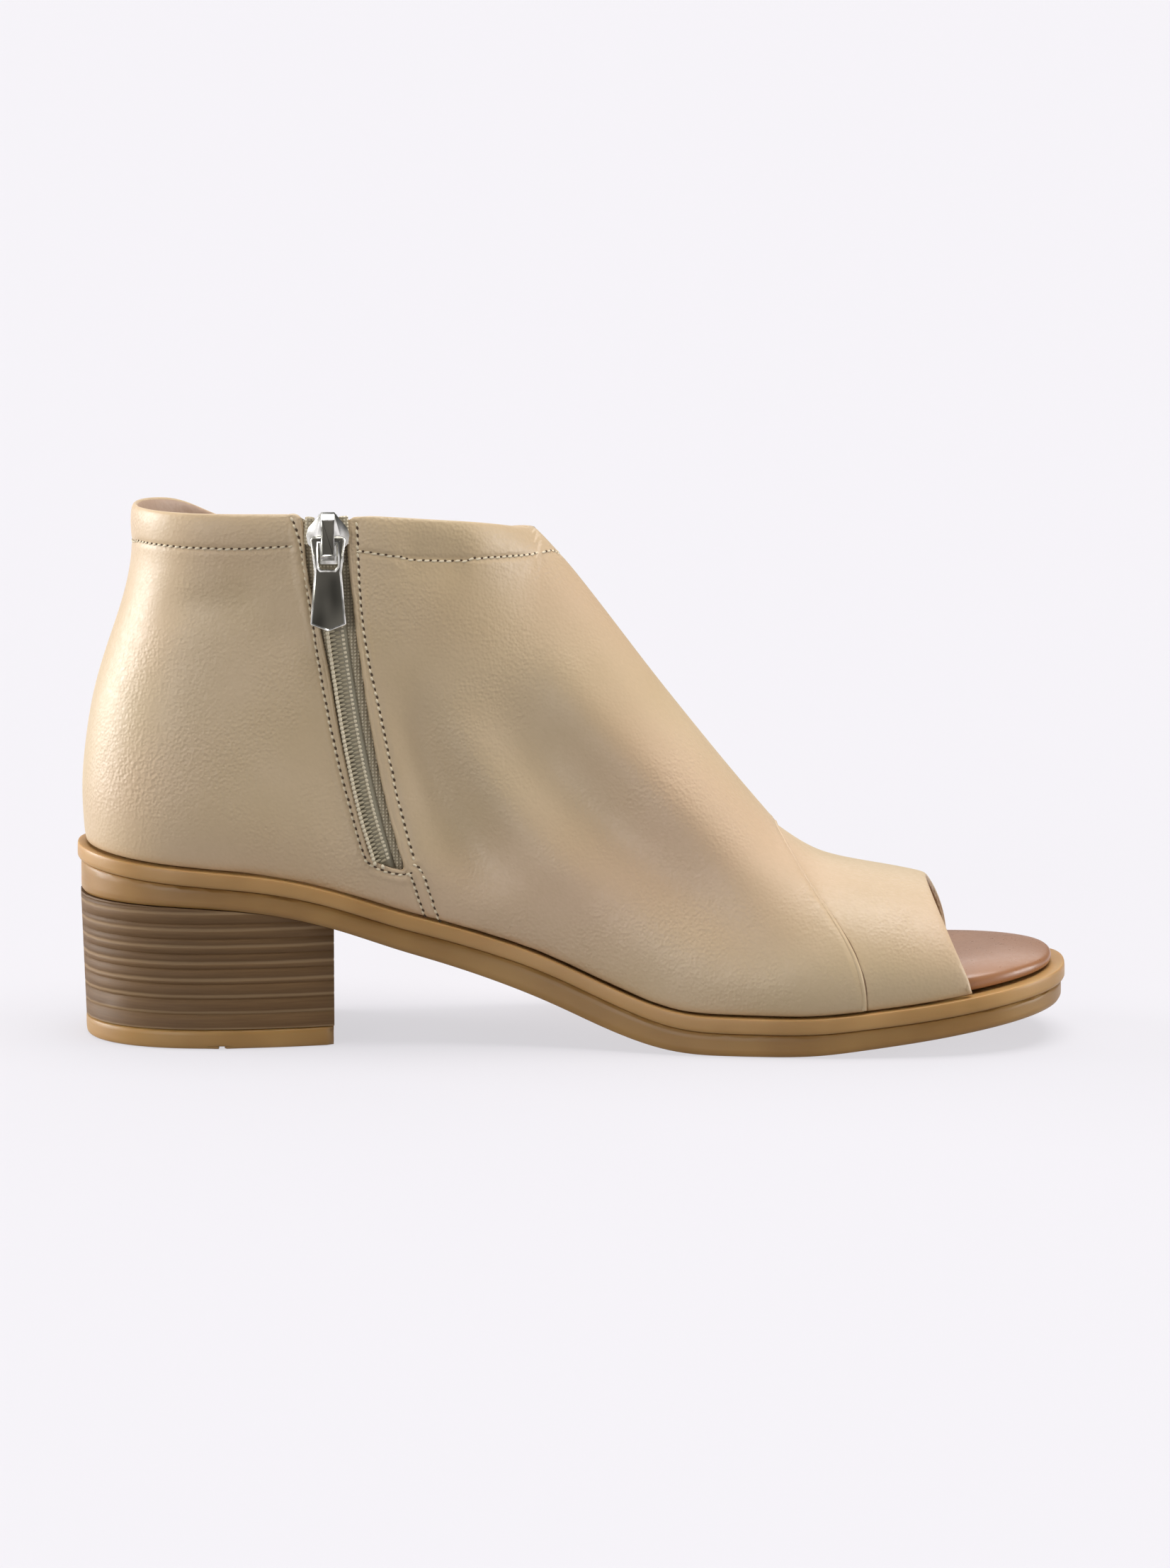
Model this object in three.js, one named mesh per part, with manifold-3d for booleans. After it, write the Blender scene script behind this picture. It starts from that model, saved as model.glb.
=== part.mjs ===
// Left ankle sandal with an open toe, a stacked block heel and a zip on the inner side.
// Millimetres. +X is the inner (medial) side, +Y the toe, +Z up, from the middle of the heel's ground face.
// The shoe is worked out with its heel's back at y = 0 and moved onto the origin at the end.
import * as THREE from 'three';
import { mergeVertices } from 'three/addons/utils/BufferGeometryUtils.js';
import Module from 'manifold-3d';

const wasm = await Module();
wasm.setup();

// Driving sizes: the sole.
const soleLength = 255;
const heelWidth = 65;
const waistWidth = 61;
const ballWidth = 88.5;
const toeWidth = 81;
const seatHeight = 37; // underside of the sole over the back of the heel
const toeSpring = 10.2; // underside of the sole at the toe's tip
const soleEdge = 10; // whole height of the sole's edge
const weltEdge = 4.3; // the part of that edge above the groove
const soleStep = 0.9; // how far the lower band stands inside the upper one
const heelCup = 3.3; // extra rise of the welt round the back of the heel
const cupReach = 41; // and how far forward it fades out
const heelRound = 34; // length of the rounded back of the outline
const toeRound = 55; // length of the rounded front of the outline
const toeFullness = 2.5; // how square the toe is: 2 is an ellipse
const heelFullness = 2.2;

// Driving sizes: the heel.
const heelLength = 65.7;
const heelInset = 0.8; // how far the heel block stands inside the welt
const heelTaper = 1.3; // how much further in it stands at the ground
const breastNarrowing = 4; // how much the block draws in on each side towards its front face
const breastSkew = 0.055; // slope of the front face, which is square to the heel's own axis
const liftThickness = 5;
const layerHeight = 3.9;
const layerGroove = 0.35;
const liftGrooveWidth = 1.4;
const liftGrooveDepth = 0.7;
const liftGroovePlace = 38.5;
const treadWidth = 2.2;
const treadDepth = 0.9;
const treadPitch = 8;
const treadBars = 4;
const treadSpan = 55;
const treadStart = soleLength - 85.4;
const liftProud = 0.3; // how far the lift stands outside the block

// Driving sizes: the insole and the upper.
const insoleInset = 4.6; // from the welt's outer edge
const insoleTipInset = 3.4; // the same at the toe's tip, where no wall stands between
const insoleThickness = 6.2;
const insoleTipThickness = 3.2;
const insoleCrown = 2.8;
const insoleFall = 1.6; // how late it thins towards the tip
const ledge = 2; // the welt that shows outside the upper
const wall = 1.8; // leather and lining
const rimShare = 0.35; // how far a turned edge rounds out, as a share of the wall
const collarHeight = 136.5;
const collarBack = 15.2; // how far the top of the back leans forward
const collarFront = 118.2;
const collarFrontHeight = 131;
const lateralDip = 13; // how far the collar dips under the outer ankle
const collarBand = 9.5;
const collarPuff = 0.7;
const legHalfWidth = 31;
const legRound = 44; // where the rounded back of the collar ends
const legFront = 102; // the leg's own width fades into the foot's from here
const legFade = 51;
const shinSlope = 1.3; // rise of the shin's line behind the collar's front, and its bend
const shinBend = 0.11;
const seatDraw = 2.2; // how far the wall is drawn in where it meets the welt
const seatDrawHeight = 15;
const zipLean = 1.45; // the zip's ribs stand nearly upright at the collar and lean further down
const vampLean = 2.45; // the vamp's edge runs forward over the foot and then drops steeply
const openingLean = { 1: 1.15, '-1': 2.3 }; // the toe opening's edge, nearly straight on the inner side
const zipFlat = 6; // the collar's fold flattens out this close to the zip
const overlapStep = 1; // the vamp's edge over the toe band
const stepRun = 0.7; // length of the slope at a step in the wall
const seamStep = 0.7; // the vamp's edge over the quarter, below the zip
const openingTop = soleLength - 36.5; // the toe opening on the ridge
const openingMedial = soleLength - 25.8; // and where it meets the welt
const openingLateral = soleLength - 28.5;
const openingHeight = 41.3; // outer surface of the ridge at the opening
const vampEnd = soleLength - 76; // where the vamp's edge crosses the ridge
const vampEndHeight = 55;
const vampEdgeMedial = soleLength - 54;
const vampEdgeLateral = soleLength - 123;

// Driving sizes: the zip.
const zipRear = 62.2; // the rear edge of its opening, at the collar
const zipWidth = 9;
const zipRearFoot = 81; // the same edge carried down to the welt
const zipFootWidth = 9.5;
const zipStopHeight = 16.8; // the foot of the opening above the welt
const coilStart = 1; // the coil's foot above the foot of the opening
const tapeTail = 4.3; // the tape's foot below it
const tapeSplit = 8.7; // the tape's halves part this far below the collar, over the slider
const sliderSpread = 2.4; // how far the slider pushes the rear edge back
const spreadLevel = 0.68; // and the share of the height that it starts and ends at
const spreadEnd = 0.88;
const coilOffset = -0.6; // the coil's middle from the middle of the opening
const tapeMargin = 6; // tape hidden behind the leather on each side
const tapeThickness = 0.8;
const coilWidth = 5;
const coilHeight = 1.3;
const sliderWidth = 10.9;
const sliderHeight = 13;
const sliderDrop = 4.8; // the slider's middle below the collar
const sliderPlate = 1.5; // thickness of its upper plate
const sliderWedge = 6.4; // width of the part that runs between the tapes
const plateLift = 0.5; // the plate's underside above the leather
const bailWidth = 3.3;
const bailGap = 2.4; // the tunnel that the pull's crossbar turns in
const bailThickness = 0.9;
const pullLength = 23.7;
const pullWidth = 9.1;
const pullWaist = 7;
const pullThickness = 1.2;
const pullBar = 1.5;
const pullWindowLength = 6.6;
const pullWindowWidth = 4.7;

const gap = 0.3; // between pieces that touch
const footGap = 0.45; // between the upper's foot and the welt's curved top
const tapeGap = 0.5; // between the tape and the curved inside of the wall

// Fineness of the faceting.
const heelSteps = 8;
const sideSteps = 20;
const toeSteps = 8;
const breastSteps = 4;
const backSteps = 7;
const tapeSteps = 14;
const coilSteps = 12;
const quarterTurn = Math.PI / 2;

const clamp01 = (t) => Math.min(1, Math.max(0, t));
const mix = (a, b, t) => a + (b - a) * t;
const ease = (t) => clamp01(t) ** 2 * (3 - 2 * clamp01(t));

// A smooth curve through the rows of a table that never overshoots them. The rows are sorted by key.
function smooth(rows, key, column) {
  const x = rows.map((row) => row[key]);
  const y = rows.map((row) => row[column]);
  const slope = x.slice(1).map((end, i) => (y[i + 1] - y[i]) / (end - x[i]));
  const tangent = x.map((_, i) => {
    if (i === 0) return slope[0];
    if (i === x.length - 1) return slope[i - 1];
    const [before, after] = [slope[i - 1], slope[i]];
    return before * after <= 0 ? 0 : (2 * before * after) / (before + after);
  });
  return (at) => {
    const inside = Math.min(x[x.length - 1], Math.max(x[0], at));
    let i = 0;
    while (i < x.length - 2 && inside > x[i + 1]) i += 1;
    const span = x[i + 1] - x[i];
    const t = (inside - x[i]) / span;
    return (1 + 2 * t) * (1 - t) ** 2 * y[i] + t * (1 - t) ** 2 * span * tangent[i]
      + t * t * (3 - 2 * t) * y[i + 1] + t * t * (t - 1) * span * tangent[i + 1];
  };
}

// The sole's plan: half its width and the swing of its middle line, along the length.
const planRows = [
  { at: 0, half: 0.5 * heelWidth, swing: 0 },
  { at: 0.133, half: 0.5 * heelWidth, swing: 0 },
  { at: 0.243, half: 0.497 * heelWidth, swing: -0.014 * ballWidth },
  { at: 0.353, half: 0.5 * waistWidth, swing: -0.034 * ballWidth },
  { at: 0.431, half: 0.525 * waistWidth, swing: -0.047 * ballWidth },
  { at: 0.51, half: 0.4 * ballWidth, swing: -0.047 * ballWidth },
  { at: 0.588, half: 0.455 * ballWidth, swing: -0.034 * ballWidth },
  { at: 0.667, half: 0.492 * ballWidth, swing: -0.02 * ballWidth },
  { at: 0.725, half: 0.5 * ballWidth, swing: -0.012 * ballWidth },
  { at: 0.804, half: 0.535 * toeWidth, swing: 0 },
  { at: 0.902, half: 0.51 * toeWidth, swing: 0.02 * ballWidth },
  { at: 1, half: 0.5 * toeWidth, swing: 0.03 * ballWidth },
].map((row) => ({ ...row, y: row.at * soleLength }));
const planHalf = smooth(planRows, 'y', 'half');
const planSwing = smooth(planRows, 'y', 'swing');

// The sole's side view: its underside, and the height of its edge.
const underRows = [
  { at: 0, under: 1.01 * seatHeight, edge: 0.95 * soleEdge },
  { at: 0.11, under: 0.99 * seatHeight, edge: 0.97 * soleEdge },
  { at: 0.18, under: 0.955 * seatHeight, edge: 0.97 * soleEdge },
  { at: 0.243, under: 0.875 * seatHeight, edge: 0.98 * soleEdge },
  { at: 0.284, under: 0.785 * seatHeight, edge: 0.99 * soleEdge },
  { at: 0.325, under: 0.68 * seatHeight, edge: 1.01 * soleEdge },
  { at: 0.37, under: 0.585 * seatHeight, edge: 1.05 * soleEdge },
  { at: 0.424, under: 0.46 * seatHeight, edge: 1.11 * soleEdge },
  { at: 0.478, under: 0.32 * seatHeight, edge: 1.16 * soleEdge },
  { at: 0.53, under: 0.162 * seatHeight, edge: 1.16 * soleEdge },
  { at: 0.575, under: 0.055 * seatHeight, edge: 1.1 * soleEdge },
  { at: 0.615, under: 0, edge: 1.03 * soleEdge },
  { at: 0.725, under: 0, edge: soleEdge },
  { at: 0.79, under: 0.17 * toeSpring, edge: 0.97 * soleEdge },
  { at: 0.845, under: 0.36 * toeSpring, edge: 0.95 * soleEdge },
  { at: 0.9, under: 0.57 * toeSpring, edge: 0.94 * soleEdge },
  { at: 0.957, under: 0.8 * toeSpring, edge: 0.94 * soleEdge },
  { at: 1, under: toeSpring, edge: 0.93 * soleEdge },
].map((row) => ({ ...row, y: row.at * soleLength }));
const under = smooth(underRows, 'y', 'under');
const edge = smooth(underRows, 'y', 'edge');
const cup = (y) => heelCup * clamp01(1 - y / cupReach) ** 2;
const soleTop = (y) => under(y) + edge(y) + cup(y);
const groove = (y) => soleTop(y) - weltEdge;

// One point of the outline, drawn in by inset. Step counts from the back of the heel to the tip of the toe.
const outlineSteps = heelSteps + sideSteps + toeSteps;
function outlinePoint(step, side, inset) {
  const toeStart = soleLength - toeRound;
  let y;
  let share = 1;
  if (step < heelSteps) {
    const turn = (step / heelSteps) * quarterTurn;
    y = heelRound - (heelRound - inset) * Math.cos(turn) ** (2 / heelFullness);
    share = Math.sin(turn) ** (2 / heelFullness);
  } else if (step <= heelSteps + sideSteps) {
    y = mix(heelRound, toeStart, (step - heelSteps) / sideSteps);
  } else {
    const turn = ((outlineSteps - step) / toeSteps) * quarterTurn;
    y = toeStart + (toeRound - inset) * Math.cos(turn) ** (2 / toeFullness);
    share = Math.sin(turn) ** (2 / toeFullness);
  }
  return new THREE.Vector2(planSwing(y) + side * (planHalf(y) - inset) * share, y);
}

// A ring right round the outline: heel point, inner side forwards, toe point, outer side back. The inset may
// change to another one at the toe's tip.
function outlineRing(inset, height, tipInset = inset) {
  const inner = [];
  const outer = [];
  const insetAt = (step) => mix(inset, tipInset, clamp01((step - outlineSteps + toeSteps) / toeSteps));
  for (let step = 1; step < outlineSteps; step += 1) {
    inner.push(outlinePoint(step, 1, insetAt(step)));
    outer.unshift(outlinePoint(step, -1, insetAt(step)));
  }
  const flat = [outlinePoint(0, 1, inset), ...inner, outlinePoint(outlineSteps, 1, tipInset), ...outer];
  return flat.map((p) => new THREE.Vector3(p.x, p.y, height(p.y)));
}

// Geometry from points and polygons, turned to face outwards.
function bodyOf(points, polygons) {
  const triangles = [];
  for (const polygon of polygons) {
    for (let i = 1; i < polygon.length - 1; i += 1) triangles.push([polygon[0], polygon[i], polygon[i + 1]]);
  }
  const volume = triangles.reduce((sum, [a, b, c]) => (
    sum + points[a].dot(new THREE.Vector3().crossVectors(points[b], points[c]))), 0);
  const geometry = new THREE.BufferGeometry();
  geometry.setAttribute('position', new THREE.Float32BufferAttribute(points.flatMap((p) => p.toArray()), 3));
  geometry.setIndex(triangles.flatMap((t) => (volume < 0 ? [t[0], t[2], t[1]] : t)));
  return geometry;
}

// A solid from a stack of rings, closed at both ends by strips between opposite points of the ring.
function stack(rings, toTip) {
  const count = rings[0].length;
  const points = rings.flat();
  const polygons = [];
  rings.slice(1).forEach((_, r) => {
    for (let i = 0; i < count; i += 1) {
      const next = (i + 1) % count;
      polygons.push([r * count + i, r * count + next, (r + 1) * count + next, (r + 1) * count + i]);
    }
  });
  const last = toTip ? count / 2 : (count - 1) / 2;
  const cap = (start, flip) => {
    for (let k = 0; k < last; k += 1) {
      const corners = [k, k + 1, (count - k - 1) % count, (count - k) % count];
      const distinct = corners.filter((c, i) => corners.indexOf(c) === i).map((c) => start + c);
      polygons.push(flip ? distinct.reverse() : distinct);
    }
  };
  cap(0, true);
  cap((rings.length - 1) * count, false);
  return bodyOf(points, polygons);
}

// Joining and cutting of closed geometries.
function toSolid(geometry) {
  const bare = geometry.clone();
  for (const name of Object.keys(bare.attributes)) if (name !== 'position') bare.deleteAttribute(name);
  const merged = mergeVertices(bare, 1e-4);
  return new wasm.Manifold(new wasm.Mesh({
    numProp: 3,
    vertProperties: new Float32Array(merged.attributes.position.array),
    triVerts: new Uint32Array(merged.index.array),
  }));
}
function fromSolid(solid) {
  const { vertProperties, triVerts } = solid.getMesh();
  const geometry = new THREE.BufferGeometry();
  geometry.setAttribute('position', new THREE.Float32BufferAttribute(vertProperties, 3));
  geometry.setIndex([...triVerts]);
  return geometry;
}
const cut = (geometry, tools) => fromSolid(
  tools.reduce((solid, tool) => solid.subtract(toSolid(tool)), toSolid(geometry)),
);
const boxAt = (w, l, h, x, y, z) => new THREE.BoxGeometry(w, l, h).translate(x, y, z);

// The outsole's lower band, with shallow tread bars under the forefoot.
function outsole() {
  const soft = 0.5; // rounding of the band's edges
  const rings = [
    outlineRing(soleStep + 3 * soft, under),
    outlineRing(soleStep + soft, (y) => under(y) + 0.4 * soft),
    outlineRing(soleStep, (y) => under(y) + 2 * soft),
    outlineRing(soleStep, (y) => groove(y) - gap - soft),
    outlineRing(soleStep + soft, (y) => groove(y) - gap),
  ];
  const bars = Array.from({ length: treadBars }, (_, bar) => boxAt(
    treadSpan, treadWidth, 2 * treadDepth, planSwing(treadStart), treadStart + bar * treadPitch, 0,
  ));
  return cut(stack(rings, true), bars);
}

// The welt: the upper band of the sole's edge, with the ledge that the upper and insole stand on.
function welt() {
  const soft = 0.7;
  return stack([
    outlineRing(soleStep + soft, groove),
    outlineRing(0.4 * soft, (y) => groove(y) + 0.4 * soft),
    outlineRing(0, (y) => groove(y) + soft),
    outlineRing(0, (y) => soleTop(y) - soft),
    outlineRing(0.3 * soft, (y) => soleTop(y) - 0.3 * soft),
    outlineRing(soft, soleTop),
  ], true);
}

// The padded insole, pulled in round its edge, crowned in the middle and thinner at the toe's tip.
const insoleRows = [
  { inset: 0.8, rise: 0, crown: 0 },
  { inset: 0.1, rise: 0.18, crown: 0 },
  { inset: 0, rise: 0.5, crown: 0 },
  { inset: 0.5, rise: 0.8, crown: 0 },
  { inset: 2.2, rise: 1, crown: 0 },
  { inset: 6.5, rise: 1, crown: 0.6 },
  { inset: 13, rise: 1, crown: 1 },
];
function insole() {
  const tipStart = soleLength - toeRound;
  const thinned = (y) => clamp01((y - tipStart) / toeRound) ** insoleFall;
  const thickness = (y) => mix(insoleThickness, insoleTipThickness, thinned(y));
  return stack(insoleRows.map(({ inset, rise, crown }) => outlineRing(
    insoleInset + inset,
    (y) => soleTop(y) + gap + thickness(y) * (rise + (crown * insoleCrown) / insoleThickness),
    insoleTipInset + inset,
  )), true);
}

// A ring of the heel block: the back of the outline, drawn in towards the breast.
function heelRing(inset, z) {
  const inner = [];
  const outer = [];
  const last = heelSteps + breastSteps;
  for (let step = 1; step <= last; step += 1) {
    const along = clamp01((step - heelSteps) / breastSteps);
    const draw = inset + breastNarrowing * along ** 2;
    const y = step <= heelSteps ? null : mix(heelRound, heelLength, along);
    for (const [side, list] of [[1, inner], [-1, outer]]) {
      const p = y === null
        ? outlinePoint(step, side, inset)
        : new THREE.Vector2(planSwing(y) + side * (planHalf(y) - draw), y);
      list.push(new THREE.Vector3(p.x, p.y + along * breastSkew * p.x, z));
    }
  }
  const back = outlinePoint(0, 1, inset);
  return [new THREE.Vector3(back.x, back.y, z), ...inner, ...outer.reverse()];
}

// The stacked heel: level layers with a fine groove between them, cut to the slope of the seat.
function heelBlock() {
  const foot = liftThickness + gap;
  const top = 1.12 * seatHeight;
  const drawn = (z) => heelInset + heelTaper * (1 - z / seatHeight);
  const rings = [heelRing(drawn(foot), foot)];
  for (let z = foot + layerHeight; z < seatHeight; z += layerHeight) {
    rings.push(heelRing(drawn(z), z - layerGroove));
    rings.push(heelRing(drawn(z) + layerGroove, z));
    rings.push(heelRing(drawn(z), z + layerGroove));
  }
  rings.push(heelRing(drawn(seatHeight), top));
  const seat = stack([
    outlineRing(-heelInset, (y) => under(y) - gap),
    outlineRing(-heelInset, (y) => under(y) + seatHeight),
  ], true);
  return cut(stack(rings, false), [seat]);
}

// The heel's ground piece, with a narrow groove across it.
function heelLift() {
  const soft = 0.8;
  const inset = heelInset + heelTaper;
  const block = stack([
    heelRing(inset + soft, 0),
    heelRing(inset + 0.2 * soft, 0.4 * soft),
    heelRing(inset - liftProud, soft),
    heelRing(inset - liftProud, liftThickness - 0.5 * soft),
    heelRing(inset + liftProud, liftThickness),
  ], false);
  return cut(block, [boxAt(2 * heelWidth, liftGrooveWidth, 2 * liftGrooveDepth, 0, liftGroovePlace, 0)]);
}

// The upper's own form. First the back's curve, from the welt to the collar.
const backFoot = soleTop(0) + footGap;
const backRows = [
  { at: 0, lean: 0.16 },
  { at: 0.07, lean: 0.1 },
  { at: 0.16, lean: 0.08 },
  { at: 0.28, lean: 0.14 },
  { at: 0.42, lean: 0.26 },
  { at: 0.53, lean: 0.43 },
  { at: 0.63, lean: 0.63 },
  { at: 0.73, lean: 0.83 },
  { at: 0.83, lean: 0.95 },
  { at: 0.92, lean: 1 },
  { at: 1, lean: 0.97 },
].map((row) => ({
  z: mix(backFoot, collarHeight, row.at),
  y: row.lean * collarBack,
}));
const backCurve = smooth(backRows, 'z', 'y');
const backLine = (z) => Math.max(backCurve(z), 0) + (z <= backFoot ? ledge - backCurve(backFoot) : 0);

// Where the rounded back ends, from the welt up to the collar.
const backRound = (z) => mix(heelRound, legRound, clamp01((z - backFoot) / (collarHeight - backFoot)));

// The ridge over the foot. Behind the collar's front it is the shin's line, which only shapes the collar.
const ridgeRows = [
  { y: collarFront, z: collarFrontHeight },
  { y: mix(collarFront, vampEnd, 0.1), z: mix(collarFrontHeight, vampEndHeight, 0.083) },
  { y: mix(collarFront, vampEnd, 0.5), z: mix(collarFrontHeight, vampEndHeight, 0.493) },
  { y: mix(collarFront, vampEnd, 0.93), z: mix(collarFrontHeight, vampEndHeight, 0.935) },
  { y: vampEnd, z: vampEndHeight },
  { y: mix(vampEnd, openingTop, 0.106), z: mix(vampEndHeight, openingHeight, 0.21) },
  { y: mix(vampEnd, openingTop, 0.223), z: mix(vampEndHeight, openingHeight, 0.44) },
  { y: mix(vampEnd, openingTop, 0.339), z: mix(vampEndHeight, openingHeight, 0.6) },
  { y: mix(vampEnd, openingTop, 0.572), z: mix(vampEndHeight, openingHeight, 0.76) },
  { y: mix(vampEnd, openingTop, 0.8), z: mix(vampEndHeight, openingHeight, 0.88) },
  { y: openingTop, z: openingHeight },
  { y: soleLength, z: openingHeight - 0.22 * (soleLength - openingTop) },
];
const ridgeFront = smooth(ridgeRows, 'y', 'z');
const ridge = (y) => (y >= collarFront
  ? ridgeFront(y)
  : collarFrontHeight + shinSlope * (collarFront - y) + shinBend * (collarFront - y) ** 2);

// The middle of the section: it follows the shin behind, and runs to the big toe's side in front.
const middleRows = [
  { y: 0, x: 0 },
  { y: 0.25 * soleLength, x: 0 },
  { y: collarFront, x: 0.03 * ballWidth },
  { y: vampEnd, x: 0.075 * ballWidth },
  { y: openingTop, x: 0.07 * ballWidth },
  { y: soleLength, x: 0.05 * ballWidth },
];
const middle = smooth(middleRows, 'y', 'x');

// The collar's height, nearly level on the inner side and dipped under the ankle on the outer side. The rows
// run from the back to the front: the fall to the front's height, and the dip of the outer side.
const collarRows = [
  { at: 0, fall: 0, dip: 0 },
  { at: 0.08, fall: 0, dip: 0.08 },
  { at: 0.2, fall: 0, dip: 0.5 },
  { at: 0.38, fall: 0, dip: 0.88 },
  { at: 0.55, fall: 0.02, dip: 1 },
  { at: 0.7, fall: 0.22, dip: 0.9 },
  { at: 0.86, fall: 0.46, dip: 0.5 },
  { at: 1, fall: 1, dip: 0 },
];
const collarFall = smooth(collarRows, 'at', 'fall');
const collarDip = smooth(collarRows, 'at', 'dip');
function collarLine(side, y) {
  const along = clamp01((y - collarBack) / (collarFront - collarBack));
  const level = mix(collarHeight, collarFrontHeight, collarFall(along));
  return side > 0 ? level : level - lateralDip * collarDip(along);
}

// How full each side of the section is: the exponent of its arch.
const archRows = [
  { y: 0, inner: 2.2, outer: 2.2 },
  { y: collarFront, inner: 2.1, outer: 1.9 },
  { y: mix(collarFront, vampEnd, 0.6), inner: 2.05, outer: 1.7 },
  { y: vampEnd, inner: 2.2, outer: 1.8 },
  { y: openingTop, inner: 2.4, outer: 2.1 },
  { y: soleLength, inner: 2.4, outer: 2.1 },
];
const archInner = smooth(archRows, 'y', 'inner');
const archOuter = smooth(archRows, 'y', 'outer');

// Half the width of the upper's foot, which follows the sole's rounded toe.
function footHalf(y) {
  const along = clamp01((y - soleLength + toeRound) / (toeRound - ledge));
  return (planHalf(y) - ledge) * (1 - along ** toeFullness) ** (1 / toeFullness);
}

// Half the upper's width on one side of its middle, at a place along it and a height.
function halfWidth(side, y, z) {
  const foot = soleTop(y) + footGap;
  const low = footHalf(y) + side * (planSwing(y) - middle(y));
  const legShare = ease((z - foot) / (collarHeight - foot)) * (1 - ease((y - legFront) / legFade));
  const width = mix(low + seatDraw, legHalfWidth, legShare);
  const rise = clamp01((z - foot) / (ridge(y) - foot));
  const arch = side > 0 ? archInner(y) : archOuter(y);
  const draw = seatDraw * clamp01(1 - (z - foot) / seatDrawHeight) ** 2;
  return width * Math.max(0, 1 - rise * rise) ** (1 / arch) - draw * (1 - rise);
}

// The ribs of the upper, from the rounded back to the toe opening. Each has a place on the collar or ridge,
// and a foot on the welt on each side. The rib named edge is the vamp's edge, and the next is the toe band.
const zipFront = zipRear + zipWidth;
const zipFrontFoot = zipRearFoot + zipFootWidth;
const quarterFoot = mix(zipFrontFoot, vampEdgeMedial, 0.5);
const bandMedial = vampEdgeMedial + stepRun;
const ribRows = [
  { top: legRound, inner: heelRound, outer: heelRound, steps: 3, bunch: 1 },
  { top: zipRear, inner: zipRearFoot, outer: 0.43 * vampEdgeLateral, steps: 2, bunch: 1 },
  { top: zipFront, inner: zipFrontFoot, outer: 0.5 * vampEdgeLateral, steps: 7, bunch: 1.7 },
  { top: collarFront, inner: quarterFoot, outer: 0.76 * vampEdgeLateral, steps: 8, bunch: 1 },
  { top: vampEnd, inner: vampEdgeMedial, outer: vampEdgeLateral, steps: 1, bunch: 1 },
  { top: vampEnd + stepRun, inner: bandMedial, outer: vampEdgeLateral + stepRun, steps: 9, bunch: 1 },
  { top: openingTop, inner: openingMedial, outer: openingLateral, steps: 0, bunch: 1 },
];
const ribs = [];
ribRows.forEach((row, r) => {
  const next = ribRows[r + 1];
  for (let k = 0; k < row.steps; k += 1) {
    const t = k / row.steps;
    ribs.push({
      top: mix(row.top, next.top, 1 - (1 - t) ** row.bunch),
      inner: mix(row.inner, next.inner, t),
      outer: mix(row.outer, next.outer, t),
    });
  }
});
ribs.push(ribRows[ribRows.length - 1]);
const ribIndex = (top) => ribs.findIndex((rib) => Math.abs(rib.top - top) < 1e-6);
const zipFirst = ribIndex(zipRear);
const zipLast = ribIndex(zipFront);
const frontRib = ribIndex(collarFront);
const edgeRib = ribIndex(vampEnd);

// Levels up each rib. The third is the foot of the zip's opening.
const zipRise = collarHeight - soleTop(zipFrontFoot);
const zipStop = zipStopHeight / zipRise;
const levels = [0, 0.5 * zipStop, zipStop, 0.235, 0.33, 0.44, 0.55, 0.66, 0.76, 0.85, 0.905, 0.955, 1];
const zipLevel = 2;

// A point of the outer face on a rib of the front, at a share of the way up.
function ribPoint(side, top, footY, level) {
  const crossing = top >= collarFront;
  const footAt = (y) => soleTop(y) + footGap;
  const reach = crossing ? 1 : (collarLine(side, top) - footAt(top)) / (ridge(top) - footAt(top));
  const turn = Math.asin(clamp01(reach)) * level;
  const forward = ease((top - collarFront) / (vampEnd - collarFront));
  const lean = mix(vampLean, openingLean[side], clamp01((top - vampEnd) / (openingTop - vampEnd)));
  const share = mix((1 - level) ** zipLean, 1 - Math.sin(level * quarterTurn) ** lean, forward);
  const y = mix(top, footY, share);
  const z = footAt(y) + (ridge(y) - footAt(y)) * Math.sin(turn);
  return new THREE.Vector3(middle(y) + side * halfWidth(side, y, z), y, z);
}

// A point of the outer face on a rib of the rounded back.
function backPoint(side, turn, level) {
  const swing = Math.cos(turn) ** (2 / heelFullness);
  const place = (z) => backRound(z) - (backRound(z) - backLine(z)) * swing;
  const foot = soleTop(heelRound - (heelRound - ledge) * swing) + footGap;
  const top = collarLine(side, place(collarHeight));
  const z = mix(foot, top, level);
  const low = heelRound - (heelRound - ledge) * swing;
  const y = level === 0 ? low : mix(low, place(z), clamp01(level / levels[1]));
  const half = halfWidth(side, Math.max(y, 0), z) * Math.sin(turn) ** (2 / heelFullness);
  return new THREE.Vector3(middle(y) + side * half, y, z);
}

// How far the leather stands proud of the plain form: the collar's fold, and each edge that lies over another.
const proudRibs = [1, 0.8, 0.5, 0.2]; // share of the step on the ribs behind an edge
const proudLevels = [1, 1, 1, 0.5]; // share of the seam's step, from the welt to above the foot of the zip
function proud(side, rib, level, point) {
  const beyond = Math.max(0, point.y - collarFront);
  const drop = Math.hypot(beyond, Math.max(0, collarLine(side, point.y) - point.z));
  const toZip = side > 0 ? Math.max(0, Math.abs(point.y - zipRear - zipWidth / 2) - zipWidth / 2) : zipFlat;
  const puff = collarPuff * clamp01(toZip / zipFlat);
  let out = drop < collarBand ? puff * Math.sin(Math.PI * clamp01(drop / collarBand)) ** 0.7 : 0;
  if (rib <= edgeRib && rib > edgeRib - proudRibs.length) out += overlapStep * proudRibs[edgeRib - rib];
  if (side > 0 && rib >= zipLast && rib < zipLast + proudRibs.length && level < proudLevels.length) {
    out += seamStep * proudRibs[rib - zipLast] * proudLevels[level];
  }
  return out;
}

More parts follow.
